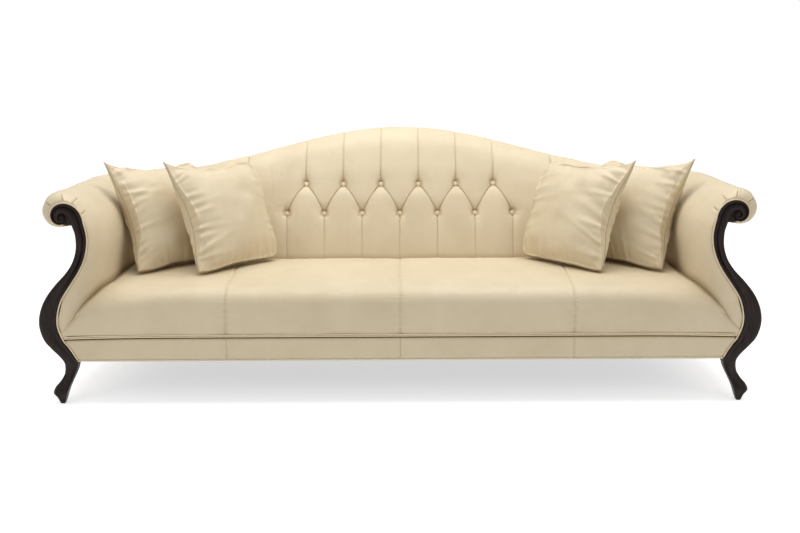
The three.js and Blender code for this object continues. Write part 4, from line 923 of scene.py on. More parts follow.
def finish_for(name):
    """The materials of this sofa, each made once."""
    c = colours()
    makers = {
        "leather_cover": lambda: leather_material("leather_cover"),
        "leather_pillow": lambda: leather_material("leather_pillow", 1.0, 1.25),
        # Painted shade: the pillows' seam folds take a darker copy of the leather, tone 0.62.
        "leather_seam_painted_shade": lambda: leather_material("leather_seam_painted_shade", 0.62, 0.5, False),
        # Painted highlight: the welts and buttons take a paler copy of the leather, tone 1.14.
        "leather_cord_painted_highlight": lambda: leather_material("leather_cord_painted_highlight", 1.14, 0.6, False),
        "espresso_wood": lambda: espresso_material("espresso_wood"),
        "frame_wood": lambda: frame_wood_material("frame_wood"),
        "jute_webbing": lambda: woven_material("jute_webbing", c.jute, 0.0022, 0.9),
        "black_cambric": lambda: woven_material("black_cambric", c.cambric, 0.0009, 0.85),
        "studio_floor": lambda: studio_floor_material("studio_floor"),
    }
    if name not in MATERIALS:
        MATERIALS[name] = makers[name]()
    return MATERIALS[name]


# Carved stumps

# Across the band from the outer to the inner edge: place, share of the depth behind the front face, and
# how far the flute is cut there.
BAND_SHARES = np.array([
    [0, 1, 0], [0, 0.7, 0], [0, 0.42, 0], [0.02, 0.28, 0], [0.06, 0.17, 0], [0.12, 0.08, 0],
    [0.22, 0.03, 0], [0.34, 0, 0], [0.46, 0, 0.1], [0.58, 0.01, 0.35], [0.66, 0.02, 0.8],
    [0.73, 0.05, 1], [0.78, 0.055, 1], [0.82, 0.04, 0.7], [0.86, 0, 0.1], [0.91, -0.012, 0],
    [0.96, 0, 0], [0.995, 0.05, 0], [1, 0.12, 0], [1, 0.6, 0], [1, 1, 0],
])
FLUTE_DEPTH = 0.006
STUMP_RINGS, COIL_RINGS, RING_FINENESS = 260, 170, 4
# The widths at which the band's flute and its rounded edge reach their full depth.
FLUTE_FULL_WIDTH, ROUNDING_FULL_WIDTH = 0.042, 0.05
# Shares of the stump's length over which the flute runs: up the neck, and more faintly over the belly.
FLUTE_FROM, FLUTE_RUN, FLUTE_MOST = 0.66, 0.2, 1.15
BELLY_FLUTE_FROM, BELLY_FLUTE_TO, BELLY_FLUTE_RUN, BELLY_FLUTE = 0.2, 0.36, 0.08, 0.55
ROUNDING_LEAST, ROUNDED_PART = 0.45, 0.3
TOE_SHARE, TOE_SPREAD, LOBE_DEPTH, LOBE_EDGE = 0.125, 0.05, 0.0032, 0.02
VOLUTE_RECESS, VOLUTE_BACK = 0.011, 0.05
# The ground of the volute, set in from the rim, from both edges of the neck and from the back.
PLATE_INSET, PLATE_OUTER_SHARE, PLATE_INNER_SHARE, PLATE_FORWARD = 0.002, 0.15, 0.06, 0.001
PLATE_ANGLES = np.linspace(-10, 300, 110)
COIL_START, COIL_END, COIL_CLOSING, COIL_TURNING = -16, 470, 95, 60
COIL_GROOVE, COIL_SET_BACK, COIL_FIRST = 0.0014, 0.0015, 0.006
BOSS_RADIUS, BOSS_RISE, BOSS_ROOT, BOSS_TIP = 0.0095, 0.0098, 0.01, 0.0004
BOSS_RINGS, BOSS_SIDES = 9, 28
SHARP_ANGLE = math.radians(38)


def loft_faces(count, around, start=0):
    """Faces of rings of vertices one after the other, closed at both ends."""
    faces = [
        (start + i * around + j, start + i * around + (j + 1) % around,
         start + (i + 1) * around + (j + 1) % around, start + (i + 1) * around + j)
        for i in range(count - 1) for j in range(around)
    ]
    last = start + (count - 1) * around
    ends = [tuple(start + j for j in range(around))[::-1], tuple(last + j for j in range(around))]
    return faces + ends


def coil_edges(degrees):
    """The band where it winds round the eye: the edge towards the eye and the rim, in X and Z."""
    rim = volute_rim(degrees)
    share = smooth((degrees - COIL_START) / COIL_CLOSING)
    throat = stump_edges(np.array([STUMP_END]))[0][0] - VOLUTE_EYE
    turn = lerp(math.degrees(math.atan2(throat[1], -throat[0])), degrees, share)
    wound = VOLUTE_RADIUS * VOLUTE_SHRINK ** ((degrees + 360) / 90) + COIL_GROOVE
    return round_the_eye(np.hypot(*throat) ** (1 - share) * wound**share, turn), rim


def carved_band():
    """The whole stump as one swept band, from the sole up the neck and twice round the volute's eye."""
    t = np.linspace(0, STUMP_END, STUMP_RINGS)
    degrees = COIL_START + (COIL_END - COIL_START) * np.linspace(COIL_FIRST, 1, COIL_RINGS)
    outer, inner, near, far = stump_edges(t)
    eye, rim = coil_edges(degrees)
    wound = smooth((degrees - COIL_START) / COIL_TURNING)
    outer, inner = np.concatenate([outer, eye]), np.concatenate([inner, rim])
    near = np.concatenate([near, FRONT_Y + COIL_SET_BACK * wound])
    far = np.concatenate([far, lerp(FRONT_Y + STUMP_DEPTH, FRONT_Y + VOLUTE_BACK, wound)])
    share = np.concatenate([t / STUMP_END, np.ones(len(degrees))])
    wide = np.linalg.norm(outer - inner, axis=1)
    above = smooth((share - FLUTE_FROM) / FLUTE_RUN)
    below = (smooth((BELLY_FLUTE_TO - share) / BELLY_FLUTE_RUN)
             * smooth((share - BELLY_FLUTE_FROM) / BELLY_FLUTE_RUN))
    flute = (above + below * BELLY_FLUTE) * np.clip(wide / FLUTE_FULL_WIDTH, 0, FLUTE_MOST)
    rows = np.arange(len(BAND_SHARES))
    fine = np.linspace(0, rows[-1], RING_FINENESS * rows[-1] + 1)
    across, behind, cut = np.stack([np.interp(fine, rows, column) for column in BAND_SHARES.T])
    rounded = np.clip(wide / ROUNDING_FULL_WIDTH, ROUNDING_LEAST, 1)[:, None]
    behind = np.where(behind < ROUNDED_PART, behind * rounded, behind)
    x = lerp(outer[:, :1], inner[:, :1], across)
    z = lerp(outer[:, 1:], inner[:, 1:], across)
    y = lerp(near[:, None], far[:, None], behind) + FLUTE_DEPTH * flute[:, None] * cut
    # A carved leaf turns over the toe: two shallow lobes beside a middle rib.
    below_volute = np.arange(len(share)) < len(t)
    toe = (np.exp(-(((share - TOE_SHARE) / TOE_SPREAD) ** 2)) * below_volute)[:, None]
    lobes = np.cos((across - 0.5) * 4 * math.pi) * (across > LOBE_EDGE) * (across < 1 - LOBE_EDGE)
    y = y + LOBE_DEPTH * toe * lobes
    rings = np.stack([x, y, z], axis=-1)
    return rings.reshape(-1, 3), loft_faces(len(rings), len(across))


def volute_plate():
    """The ground behind the coil."""
    outer, inner, _, _ = stump_edges(np.array([STUMP_END - 1, STUMP_END]))
    rim = volute_rim(PLATE_ANGLES, PLATE_INSET)
    throat = outer + (inner - outer) * PLATE_OUTER_SHARE
    outline = np.concatenate([inner + (outer - inner) * PLATE_INNER_SHARE, rim, throat[::-1]])
    layers = [VOLUTE_BACK - PLATE_FORWARD, VOLUTE_RECESS]
    rings = [np.insert(outline, 1, FRONT_Y + depth, axis=1) for depth in layers]
    return np.concatenate(rings), loft_faces(len(layers), len(outline))


def volute_eye():
    """The round boss in which the volute ends."""
    angle = np.linspace(0, math.pi / 2, BOSS_RINGS)[:-1]
    around = np.arange(BOSS_SIDES) * 2 * math.pi / BOSS_SIDES
    dome = [(BOSS_RADIUS * math.cos(a), BOSS_RISE * math.sin(a)) for a in angle]
    rings = [(BOSS_RADIUS, -BOSS_ROOT), *dome, (BOSS_TIP, BOSS_RISE)]
    x, z = VOLUTE_EYE
    points = [
        (x + radius * math.cos(a), FRONT_Y + VOLUTE_RECESS - rise, z + radius * math.sin(a))
        for radius, rise in rings for a in around
    ]
    return np.array(points), loft_faces(len(rings), len(around))


def shells(name, parts, material, mirror):
    """One piece from several closed shells."""
    vertices, faces = [], []
    for points, polygons in parts:
        start = sum(len(v) for v in vertices)
        vertices.append(points)
        faces += [tuple(index + start for index in face) for face in polygons]
    together = np.concatenate(vertices) * [mirror, 1, 1]
    return face_outwards(add_object(name, together, faces, material, SHARP_ANGLE))


class SOFA_OT_carved_stumps(bpy.types.Operator):
    """Carve the two arm stumps, from the cabriole foot to the volute"""

    bl_idname = "sofa.carved_stumps"
    bl_label = "Carved stumps"

    def execute(self, context):
        for side, mirror in SIDES.items():
            parts = [carved_band(), volute_plate(), volute_eye()]
            stump = shells(f"carved_stump_{side}", parts, finish_for("espresso_wood"), mirror)
            seated(stump, f"arm_stump_{side}", slot="espresso_wood")
        return {"FINISHED"}


# Leather over the arms and the back

# How fine the meshes are.
ARM_ROWS, WING_ROWS, WING_COLUMNS, PANEL_ROWS, PANEL_COLUMNS = 300, 190, 120, 400, 641
WING_LINING_COLUMNS, PANEL_LINING_COLUMNS = 10, 24
# Where the arm's lining steps round the stump, from its front.
ARM_LINING_STEP, ARM_LINING_START = 0.008, 0.12


class SOFA_OT_inside_arms(bpy.types.Operator):
    """Pad the rolled arms and the plain wings of the back"""

    bl_idname = "sofa.inside_arms"
    bl_label = "Inside arms and wings"

    def execute(self, context):
        leather = finish_for("leather_cover")
        for side, sign in SIDES.items():
            behind_stump = CREST_RUN - STUMP_DEPTH
            back = np.array([CREST_RUN, behind_stump, behind_stump - ARM_LINING_STEP,
                             *np.linspace(CREST_RUN - ARM_LINING_START, SEAM_RUN + SEAM_GAP / 2, 8)])
            arm = padded_panel(f"leather_arm_{side}", sign * arm_stations(), sign * back, arm_relief,
                               leather, crowded_rows(ARM_ROWS, *ARM_ROW_PLACES))
            seated(arm, f"inside_arm_{side}", fill=0.8)
            ends = SEAM_RUN - SEAM_GAP / 2, sizes().panel_half + SEAM_GAP / 2
            wing = padded_panel(f"leather_wing_{side}", sign * np.linspace(*ends, WING_COLUMNS),
                                sign * np.linspace(*ends, WING_LINING_COLUMNS), wing_relief, leather,
                                section_rows(WING_ROWS))
            seated(wing, f"inside_wing_{side}", fill=0.8)
        return {"FINISHED"}


class SOFA_OT_tufted_back(bpy.types.Operator):
    """Pad the camel back and draw it in at the buttons"""

    bl_idname = "sofa.tufted_back"
    bl_label = "Tufted back"

    def execute(self, context):
        half = sizes().panel_half - SEAM_GAP / 2
        p = np.linspace(-half, half, PANEL_COLUMNS)
        v = np.broadcast_to(crowded_rows(PANEL_ROWS, *PANEL_ROW_PLACES), (len(p), PANEL_ROWS))
        points = skin(p, v)
        front = points - skin_normals(p, v) * tuft_relief(p, v, points)[..., None]
        few = np.linspace(-half, half, PANEL_LINING_COLUMNS)
        panel = pad_object("leather_tufted_back", front, lining(few, lining_rows(few)),
                           finish_for("leather_cover"))
        seated(panel, "tufted_back", fill=0.75)
        return {"FINISHED"}


BUTTON_RADIUS, BUTTON_RISE, BUTTON_OUT, BUTTON_SIDES = 0.0112, 0.0075, 0.0045, 40
BUTTON_PLEATS, BUTTON_PLEAT_DEPTH, BUTTON_GATHER = 20, 0.014, 0.6
# The dome from its underside to its top: shares of the radius and of the rise.
BUTTON_DOME = (
    (0.82, -0.25), (1.0, -0.05), (1.03, 0.18), (0.97, 0.42), (0.85, 0.66), (0.66, 0.84), (0.42, 0.95),
    (0.2, 0.99), (0.02, 1.0),
)


def button_shell():
    """A domed button whose leather is gathered at the rim, lying on its back in X and Y."""
    around = np.arange(BUTTON_SIDES) * 2 * math.pi / BUTTON_SIDES
    points = []
    for reach, rise in BUTTON_DOME:
        gathered = smooth((reach - BUTTON_GATHER) / (1 - BUTTON_GATHER))
        pleat = 1 + BUTTON_PLEAT_DEPTH * np.cos(BUTTON_PLEATS * around) * gathered
        radius = BUTTON_RADIUS * reach * pleat
        height = np.full(BUTTON_SIDES, BUTTON_RISE * rise)
        points.append(np.stack([radius * np.cos(around), radius * np.sin(around), height], axis=1))
    return np.concatenate(points), loft_faces(len(BUTTON_DOME), BUTTON_SIDES)


class SOFA_OT_buttons(bpy.types.Operator):
    """Seat the leather-covered buttons in the tufts"""

    bl_idname = "sofa.buttons"
    bl_label = "Buttons"

    def execute(self, context):
        s = sizes()
        lower, upper = tuft_spots()
        spots = [(x, s.tuft_upper) for x in upper] + [(x, s.tuft_lower) for x in lower]
        shell, faces = button_shell()
        for number, (x, z) in enumerate(spots, 1):
            p, v = np.array([x]), np.array([[panel_place(x, z)]])
            out = skin_normals(p, v)[0, 0]
            points = skin(p, v)
            at = (points - skin_normals(p, v) * tuft_relief(p, v, points)[..., None])[0, 0]
            turn = Vector((0, 0, 1)).rotation_difference(Vector(out)).to_matrix()
            placed_shell = shell @ np.array(turn).T + at + out * BUTTON_OUT
            button = add_object(f"leather_button_{number}", placed_shell, faces, finish_for("leather_cord_painted_highlight"))
            seated(face_outwards(button), f"back_button_{number}", fill=0.9)
        return {"FINISHED"}


# The outside covers hang from the end of the roll.
ARM_COVER_SHARES = np.array([
    [-0.89, 0.803], [-1, 0.745], [-0.703, 0.671], [0, 0.591], [0.838, 0.493], [1.216, 0.396], [1.01, 0.31],
    [0.405, 0.243], [-0.04, 0.211],
])
BACK_COVER_SHARES = np.array([
    [0.7, 0.95], [0.68, 0.87], [0.62, 0.77], [0.52, 0.65], [0.38, 0.52], [0.2, 0.39], [-0.02, 0.26],
    [-0.3, 0.12], [-0.5, 0],
])
COVER_TOP_GAP, COVER_BELOW, COVER_SHEET = 0.003, 0.002, 0.009
COVER_END, COVER_ROWS, COVER_LINING_ROWS = len(ARM_COVER_SHARES), 110, 12
ARM_COVER_COLUMNS, ARM_COVER_LINING, BACK_COVER_COLUMNS, BACK_COVER_LINING = 110, 12, 380, 40


def cover_points(p, v, inwards=0.0):
    """The outside covers at p (m) and v (m, n), v running down from the roll."""
    share = arm_share(p)[:, None]
    end = section_controls(p)[:, SECTION_END]
    out = lerp(BACK_COVER_SHARES[:, 0] * CREST_SETBACK, ARM_COVER_SHARES[:, 0] * sizes().roll_radius, share)
    back_up = lerp(BORDER_LOW.z - COVER_BELOW, end[:, 1:], BACK_COVER_SHARES[:, 1])
    up = lerp(back_up, ARM_COVER_SHARES[:, 1] * sizes().arm_height, share)
    top = np.stack([end[:, 0], end[:, 1] - COVER_TOP_GAP], axis=1)[:, None]
    controls = np.concatenate([top, np.stack([out, up], axis=-1)], axis=1)
    points = spline(controls[:, None], v)
    inwards = np.broadcast_to(inwards, v.shape)
    return placed(p, points[..., 0] - inwards, points[..., 1])


ARM_COVER_SEED, BACK_COVER_SEED = 51, 61
# The outside covers' seams and hems, their wrinkles and how far these may stand out.
COVER_SEAM_DEPTH, HEM_REACH, HEM = 0.003, 0.05, (0.002, 0.01)
COVER_WRINKLE, COVER_SWELL, COVER_OUT = 0.0012, 0.14, 0.0004
COVER_FRONT_GAP = 0.0004


def cover_panel(name, p, few, seams, material, seed):
    v = np.broadcast_to(np.linspace(0, COVER_END, COVER_ROWS), (len(p), COVER_ROWS))
    points = cover_points(p, v)
    dip = sum(seam_dip((p - seam)[:, None], COVER_SEAM_DEPTH) for seam in seams)
    hem = seam_dip(v * HEM_REACH, *HEM) + seam_dip((COVER_END - v) * HEM_REACH, *HEM)
    slack = np.maximum(soft_wrinkles(points, COVER_WRINKLE, seed, COVER_SWELL), -COVER_OUT)
    front = cover_points(p, v, dip + hem + slack)
    rows = np.linspace(0, COVER_END, COVER_LINING_ROWS)
    back = cover_points(few, np.broadcast_to(rows, (len(few), len(rows))), COVER_SHEET)
    return pad_object(name, front, back, material)


class SOFA_OT_outside_covers(bpy.types.Operator):
    """Hang the leather of the outside arms and the outside back"""

    bl_idname = "sofa.outside_covers"
    bl_label = "Outside covers"

    def execute(self, context):
        leather = finish_for("leather_cover")
        start = CREST_RUN - (FRONT_Y + STUMP_DEPTH + COVER_FRONT_GAP - PAD_FRONT_Y)
        end = SEAM_RUN + SEAM_GAP / 2
        for side, sign in SIDES.items():
            p, few = np.linspace(start, end, ARM_COVER_COLUMNS), np.linspace(start, end, ARM_COVER_LINING)
            arm = cover_panel(f"leather_outside_arm_{side}", sign * p, sign * few, [sign * end], leather,
                              ARM_COVER_SEED)
            seated(arm, f"outside_arm_{side}", fill=0.3)
        reach = SEAM_RUN - SEAM_GAP / 2
        p = np.linspace(-reach, reach, BACK_COVER_COLUMNS)
        few = np.linspace(-reach, reach, BACK_COVER_LINING)
        back = cover_panel("leather_outside_back", p, few, [-reach, reach], leather, BACK_COVER_SEED)
        seated(back, "outside_back", fill=0.3)
        return {"FINISHED"}


# Seat

SEAT_FRONT_Y = FRONT_Y + 0.006
SEAT_FACE_TOP = 0.405
ROUNDING_CENTRE, ROUNDING_END, END_RUN = 0.082, 0.137, 0.42
FACE_LEAN_END, FACE_LEAN_POWER, FACE_TOP_END, SLOPE_END, FACE_BULGE = 0.026, 1.2, 0.366, 1.3, 0.003
# The share of the crown that is missing at the ends, and how full the crown is.
CROWN_LOSS, CROWN_POWER = 0.66, 0.7
# From where the arms and the back are felt for, and how much longer the seat is in front than behind.
PROBE_SIDE_X, PROBE_CORNER_X, PROBE_Y, FRONT_LONGER = 0.9, 1.0, -0.1, 0.1
SEAT_CLEARANCE, CORNER_CUT = 0.0012, 0.04
SEAT_EDGE_GAP = 0.0086
# The seat's lower edge, and its underside behind that.
SEAT_FOOT_BACK, SEAT_LINING_SHARE, SEAT_LINING_BACK, SEAT_LINING_RISE = 0.002, 0.995, 0.006, 0.0006
SEAT_SEAMS = (-0.7, 0.0, 0.7)
# The border: half its length, its gap beside the stumps, how far it rises and how much shorter it is.
BORDER_HALF, BORDER_GAP, BORDER_OVER, BORDER_SHORT = 1.35, 0.00745, 0.0005, 0.0006
BORDER_SEAM_SHARES = ((-0.546, -0.504), (-0.01, 0.01), (0.504, 0.546))
BORDER_EDGE, BORDER_SEAM, BORDER_OUT = (0.0026, 0.005), (0.0026, 0.0022), 0.0003
BORDER_COLUMNS, BORDER_SEAM_COLUMNS, BORDER_ROWS, BORDER_LINING_ROWS, BORDER_LINING_STEP = 441, 46, 40, 4, 13
DOUBLE_HEIGHT, DOUBLE_DIP = 0.285, 0.006
SEAT_COLUMNS, SEAT_ROWS, SEAT_LINING_COLUMNS, SEAT_LINING_ROWS = 721, 190, 60, 8
# A row of the seat that lies on its top.
TOP_ROW = -10
FACE_SHARE, CURVE_SHARE = 0.16, 0.3


def surfaces_of(names):
    """One search tree over the finished surfaces of several pieces."""
    vertices, polygons = [], []
    for name in names:
        mesh = bpy.data.objects[name].data
        start = len(vertices)
        vertices += [v.co.copy() for v in mesh.vertices]
        polygons += [[start + index for index in face.vertices] for face in mesh.polygons]
    return BVHTree.FromPolygons(vertices, polygons)


def seat_profile(share, half):
    """Y and Z up the face, round the edge and back to 0 along the top, for a share of the half width."""
    x = np.abs(share) * half
    end = np.clip((x - half + END_RUN) / END_RUN, 0, 1)[:, None]
    rounding = lerp(ROUNDING_CENTRE, ROUNDING_END, end**2)
    face_top = lerp(SEAT_FACE_TOP, FACE_TOP_END, end**2)
    u = np.linspace(0, 1, SEAT_ROWS)[None, :]
    up = np.clip(u / FACE_SHARE, 0, 1)
    turn = np.clip((u - FACE_SHARE) / (CURVE_SHARE - FACE_SHARE), 0, 1) * math.pi / 2
    y = SEAT_FRONT_Y + rounding * (1 - np.cos(turn)) - FACE_BULGE * np.sin(math.pi * up)
    y = y + FACE_LEAN_END * end**2 * up**FACE_LEAN_POWER
    rise = np.sin(turn) ** lerp(1, SLOPE_END, end**2)
    z = lerp(SEAT_LOW.z, face_top, up) + (sizes().seat_height - face_top) * rise
    return y, z, np.clip((u - CURVE_SHARE) / (1 - CURVE_SHARE), 0, 1)


def seat_limits(tree, y, z):
    """How far the seat's edge reaches in X beside the arms, row by row."""
    limits = []
    for row_y, row_z in zip(y, z):
        start = Vector((PROBE_SIDE_X, row_y, row_z))
        hit = tree.ray_cast(start, Vector((1, 0, 0)))[0]
        rim = float(inner_edge_x(row_z, SEAT_EDGE_GAP))
        reach = rim if hit is None else hit.x - SEAT_CLEARANCE
        if row_y < FRONT_Y + STUMP_DEPTH:
            reach = min(reach, rim)
        limits.append(reach)
    return np.array(limits)


def grid_normals(grid):
    normal = np.cross(np.gradient(grid, axis=0), np.gradient(grid, axis=1))
    return normal / np.maximum(np.linalg.norm(normal, axis=-1), 1e-12)[..., None]


def seat_grid():
    """The seat as a grid of points, fitted in front of the arms and the back."""
    tree = surfaces_of(["leather_arm_right", "leather_wing_right", "leather_tufted_back",
                        "leather_arm_left", "leather_wing_left"])
    top = sizes().seat_height
    corner = Vector((PROBE_CORNER_X, PROBE_Y, top))
    diagonal = tree.ray_cast(corner, Vector((1, 1, 0)).normalized())[0]
    end_x, end_y = diagonal.x - SEAT_CLEARANCE, diagonal.y - SEAT_CLEARANCE
    share = np.linspace(-1, 1, SEAT_COLUMNS)
    y, z, back = seat_profile(share, end_x + FRONT_LONGER)
    behind = []
    for x in share * end_x:
        hit = tree.ray_cast(Vector((x, PROBE_Y, top)), Vector((0, 1, 0)))[0]
        behind.append(end_y if hit is None else max(end_y, hit.y - SEAT_CLEARANCE))
    behind = np.array(behind)
    behind[[0, -1]] = end_y
    y = y + back * (behind[:, None] - y[:, -1:])
    crown = sizes().seat_crown * (1 - CROWN_LOSS * share[:, None] ** 4)
    z = z + crown * np.sin(math.pi * np.clip(back, 0, 1)) ** CROWN_POWER * (back > 0)
    limits = seat_limits(tree, y[-1], z[-1])
    rear = y[-1] > end_y - CORNER_CUT
    limits[rear] = np.minimum(limits[rear], end_x + end_y - y[-1][rear])
    x = share[:, None] * limits[None, :]
    return np.stack([x, y, z], axis=-1), behind


# Beside the seams of the seat: fine puckers, the seam and its wider valley, each with a depth and a reach.
SEAT_PUCKER, SEAT_SEAM, SEAT_VALLEY = (0.0011, 0.022), (0.0042, 0.0048), (0.0022, 0.03)
# How far the seat sags beside the arms and before the back, and how far in from them.
SIDE_SAG, REAR_SAG = (0.009, 0.018), (0.012, 0.02)


def seat_relief(grid, behind):
    """How far the seat's leather is drawn in, and how far it sags beside the arms and the back."""
    x, y, z = grid[..., 0], grid[..., 1], grid[..., 2]
    relief = soft_wrinkles(grid, *SEAT_WRINKLES)
    for seam in SEAT_SEAMS:
        away = np.abs(x - seam)
        wave = np.sin(y * 260 + z * 240 + 2 * np.sin(y * 71))
        pucker = SEAT_PUCKER[0] * wave * np.exp(-(away / SEAT_PUCKER[1]))
        relief = relief + seam_dip(away, *SEAT_SEAM) + pucker + seam_dip(away, *SEAT_VALLEY)
    side, rear = np.abs(x[-1])[None, :] - np.abs(x), behind[:, None] - y
    return relief, seam_dip(side, *SIDE_SAG) + seam_dip(rear, *REAR_SAG)


class SOFA_OT_seat(bpy.types.Operator):
    """Pad the tight seat with its crown, its rolled front edge and its sewn seams"""

    bl_idname = "sofa.seat"
    bl_label = "Seat"

    def execute(self, context):
        grid, behind = seat_grid()
        relief, sag = seat_relief(grid, behind)
        normals = grid_normals(grid)
        normals *= np.sign(normals[SEAT_COLUMNS // 2, TOP_ROW, 2])
        front = grid - normals * relief[..., None]
        front[..., 2] -= sag
        front[[0, -1], :, 0] = grid[[0, -1], :, 0]
        front[:, 0, 2] = grid[:, 0, 2]
        front[:, 0, 1] = SEAT_FRONT_Y + SEAT_FOOT_BACK
        few = np.linspace(0, SEAT_COLUMNS - 1, SEAT_LINING_COLUMNS).astype(int)
        floor_rows = np.linspace(0, 1, SEAT_LINING_ROWS)
        back = np.empty((len(few), len(floor_rows), 3))
        near, far = front[few, 0], front[few, -1]
        back[..., 0] = lerp(near[:, :1] * SEAT_LINING_SHARE, far[:, :1], floor_rows)
        back[..., 1] = lerp(near[:, 1:2] + SEAT_LINING_BACK, far[:, 1:2], floor_rows)
        back[..., 2] = SEAT_LOW.z + SEAT_LINING_RISE
        seat = pad_object("leather_seat", front, back, finish_for("leather_cover"))
        seated(seat, "seat_cushion", fill=0.85)
        return {"FINISHED"}


def dipped(x, end):
    """How far the line between seat and border dips towards its ends."""
    return DOUBLE_DIP * np.clip((np.abs(x) - end + END_RUN) / END_RUN, 0, 1) ** 2


class SOFA_OT_front_border(bpy.types.Operator):
    """Stretch the leather border below the seat"""

    bl_idname = "sofa.front_border"
    bl_label = "Front border"

    def execute(self, context):
        near_seams = [np.linspace(low, high, BORDER_SEAM_COLUMNS) for low, high in BORDER_SEAM_SHARES]
        columns = np.concatenate([np.linspace(-1, 1, BORDER_COLUMNS), *near_seams])
        share = np.unique(np.round(columns, 4))[:, None]
        rise = np.linspace(0, 1, BORDER_ROWS)[None, :]
        end_dip = dipped(np.abs(share) * BORDER_HALF, BORDER_HALF)
        z = lerp(BORDER_LOW.z, BORDER_HIGH.z + BORDER_OVER - end_dip, rise)
        x = share * (inner_edge_x(z, BORDER_GAP) - BORDER_SHORT)
        edge = np.minimum(rise, 1 - rise) * (BORDER_HIGH.z - BORDER_LOW.z)
        y = np.full(z.shape, BORDER_LOW.y) + seam_dip(edge, *BORDER_EDGE)
        front = np.stack([x, y, z], axis=-1)
        front[..., 1] += np.maximum(soft_wrinkles(front, *BORDER_WRINKLES), -BORDER_OUT) + BORDER_OUT
        for seam in SEAT_SEAMS:
            front[..., 1] += seam_dip(np.abs(x - seam), *BORDER_SEAM)
        few, few_dips = share[::BORDER_LINING_STEP], end_dip[::BORDER_LINING_STEP]
        back_rise = np.linspace(0, 1, BORDER_LINING_ROWS)[None, :]
        back_z = lerp(BORDER_LOW.z, BORDER_HIGH.z + BORDER_OVER - few_dips, back_rise)
        back_x = few * (inner_edge_x(back_z, BORDER_GAP) - BORDER_SHORT)
        back = np.stack([back_x, np.full(back_z.shape, BORDER_HIGH.y), back_z], axis=-1)
        border = pad_object("leather_border", front, back, finish_for("leather_cover"))
        seated(border, "front_border", fill=0.4)
        return {"FINISHED"}


# Cords

WELT_RADIUS, DOUBLE_RADIUS, CORD_SHARE = 0.0032, 0.0026, 0.97
WELT_FORWARD = 0.003
BOTTOM_SET_BACK, BOTTOM_GAP, BOTTOM_SHORT = 0.006, 0.00035, 0.003
DOUBLE_SPREAD, DOUBLE_SHORT, DOUBLE_FORWARD, CORD_TWIST = 0.0031, 0.0027, 0.0013, 0.025
CORD_GAP, CORD_POINTS, CORD_SPACING = 0.00105, 700, 0.0035
WELT_ANGLES, WELT_EDGE_POINTS = np.linspace(-10, 285, 120), 240


def resampled(path, spacing=CORD_SPACING):
    """The same path with evenly spaced points."""
    path = np.asarray(path)
    run = np.concatenate([[0], np.cumsum(np.linalg.norm(np.diff(path, axis=0), axis=1))])
    at = np.linspace(0, run[-1], int(run[-1] / spacing))
    return np.stack([np.interp(at, run, path[:, k]) for k in range(3)], axis=1)


class SOFA_OT_welts(bpy.types.Operator):
    """Lay the cords round the stumps, over the border and under it"""

    bl_idname = "sofa.welts"
    bl_label = "Welts"

    def execute(self, context):
        cord = finish_for("leather_cord_painted_highlight")
        gap = WELT_RADIUS + CORD_GAP
        edge = inner_edge(gap, WELT_EDGE_POINTS)
        edge = edge[edge[:, 1] > BORDER_LOW.z]
        route = np.concatenate([edge, volute_rim(WELT_ANGLES, -gap)])
        y = FRONT_Y + WELT_FORWARD + WELT_RADIUS
        for side, sign in SIDES.items():
            path = np.stack([route[:, 0] * sign, np.full(len(route), y), route[:, 1]], axis=1)
            welt = tube(f"leather_welt_{side}", resampled(path), WELT_RADIUS * CORD_SHARE, cord,
                        twist=CORD_TWIST)
            seated(welt, f"arm_welt_{side}")
        end = inner_edge_x(DOUBLE_HEIGHT - DOUBLE_DIP, BORDER_GAP) - DOUBLE_SHORT
        x = np.linspace(-end, end, CORD_POINTS)
        y = np.full(x.shape, SEAT_FRONT_Y - DOUBLE_FORWARD)
        for name, rise in (("upper", DOUBLE_SPREAD), ("lower", -DOUBLE_SPREAD)):
            path = np.stack([x, y, DOUBLE_HEIGHT - dipped(x, end) + rise], axis=1)
            line = tube(f"leather_double_welt_{name}", path, DOUBLE_RADIUS, cord, twist=CORD_TWIST)
            seated(line, "seat_double_welt")
        z = BORDER_LOW.z - WELT_RADIUS - BOTTOM_GAP
        end = inner_edge_x(z) - BOTTOM_SHORT
        x = np.linspace(-end, end, CORD_POINTS)
        y = np.full(x.shape, FRONT_Y + BOTTOM_SET_BACK + WELT_RADIUS)
        path = np.stack([x, y, np.full(x.shape, z)], axis=1)
        welt = tube("leather_bottom_welt", path, WELT_RADIUS * CORD_SHARE, cord, twist=CORD_TWIST)
        seated(welt, "bottom_welt")
        return {"FINISHED"}


# Loose pillows

# Where each pillow stands in X and Y, and its gap above the seat.
PILLOW_PLACES = {"inner": (0.748, -0.028), "outer": (1.007, 0.012)}
PILLOW_REST = 0.0004
FILLING_SEED, PUCKER_SEED = 100, 9
# Lines of the mesh along each side, and how far they crowd towards the seams.
PILLOW_LINES, PILLOW_CROWDING = 86, 0.41
PILLOW_START_RISE = 0.9
PILLOW_FRAMES = 20
PILLOW_CAP = 0.016
PILLOW_EVENING = 8
PILLOW_FULLNESS = 0.42
FILLING_LUMP, FILLING_RISE = 0.07, 0.004
SEAM_RADIUS, SEAM_SPACING = 0.0016, 0.004
PILLOW_SHARE, PILLOW_FOOT = 0.99, 0.06
# Creases at each edge: whether it is the top or bottom, its side, and their count and strength.
PUCKER_EDGES = ((False, -1, 10, 0.9), (False, 1, 7, 0.5), (True, -1, 5, 0.6), (True, 1, 4, 0.4))
PILLOW_PINCH, PILLOW_PINCH_BELOW = 0.034, 0.014
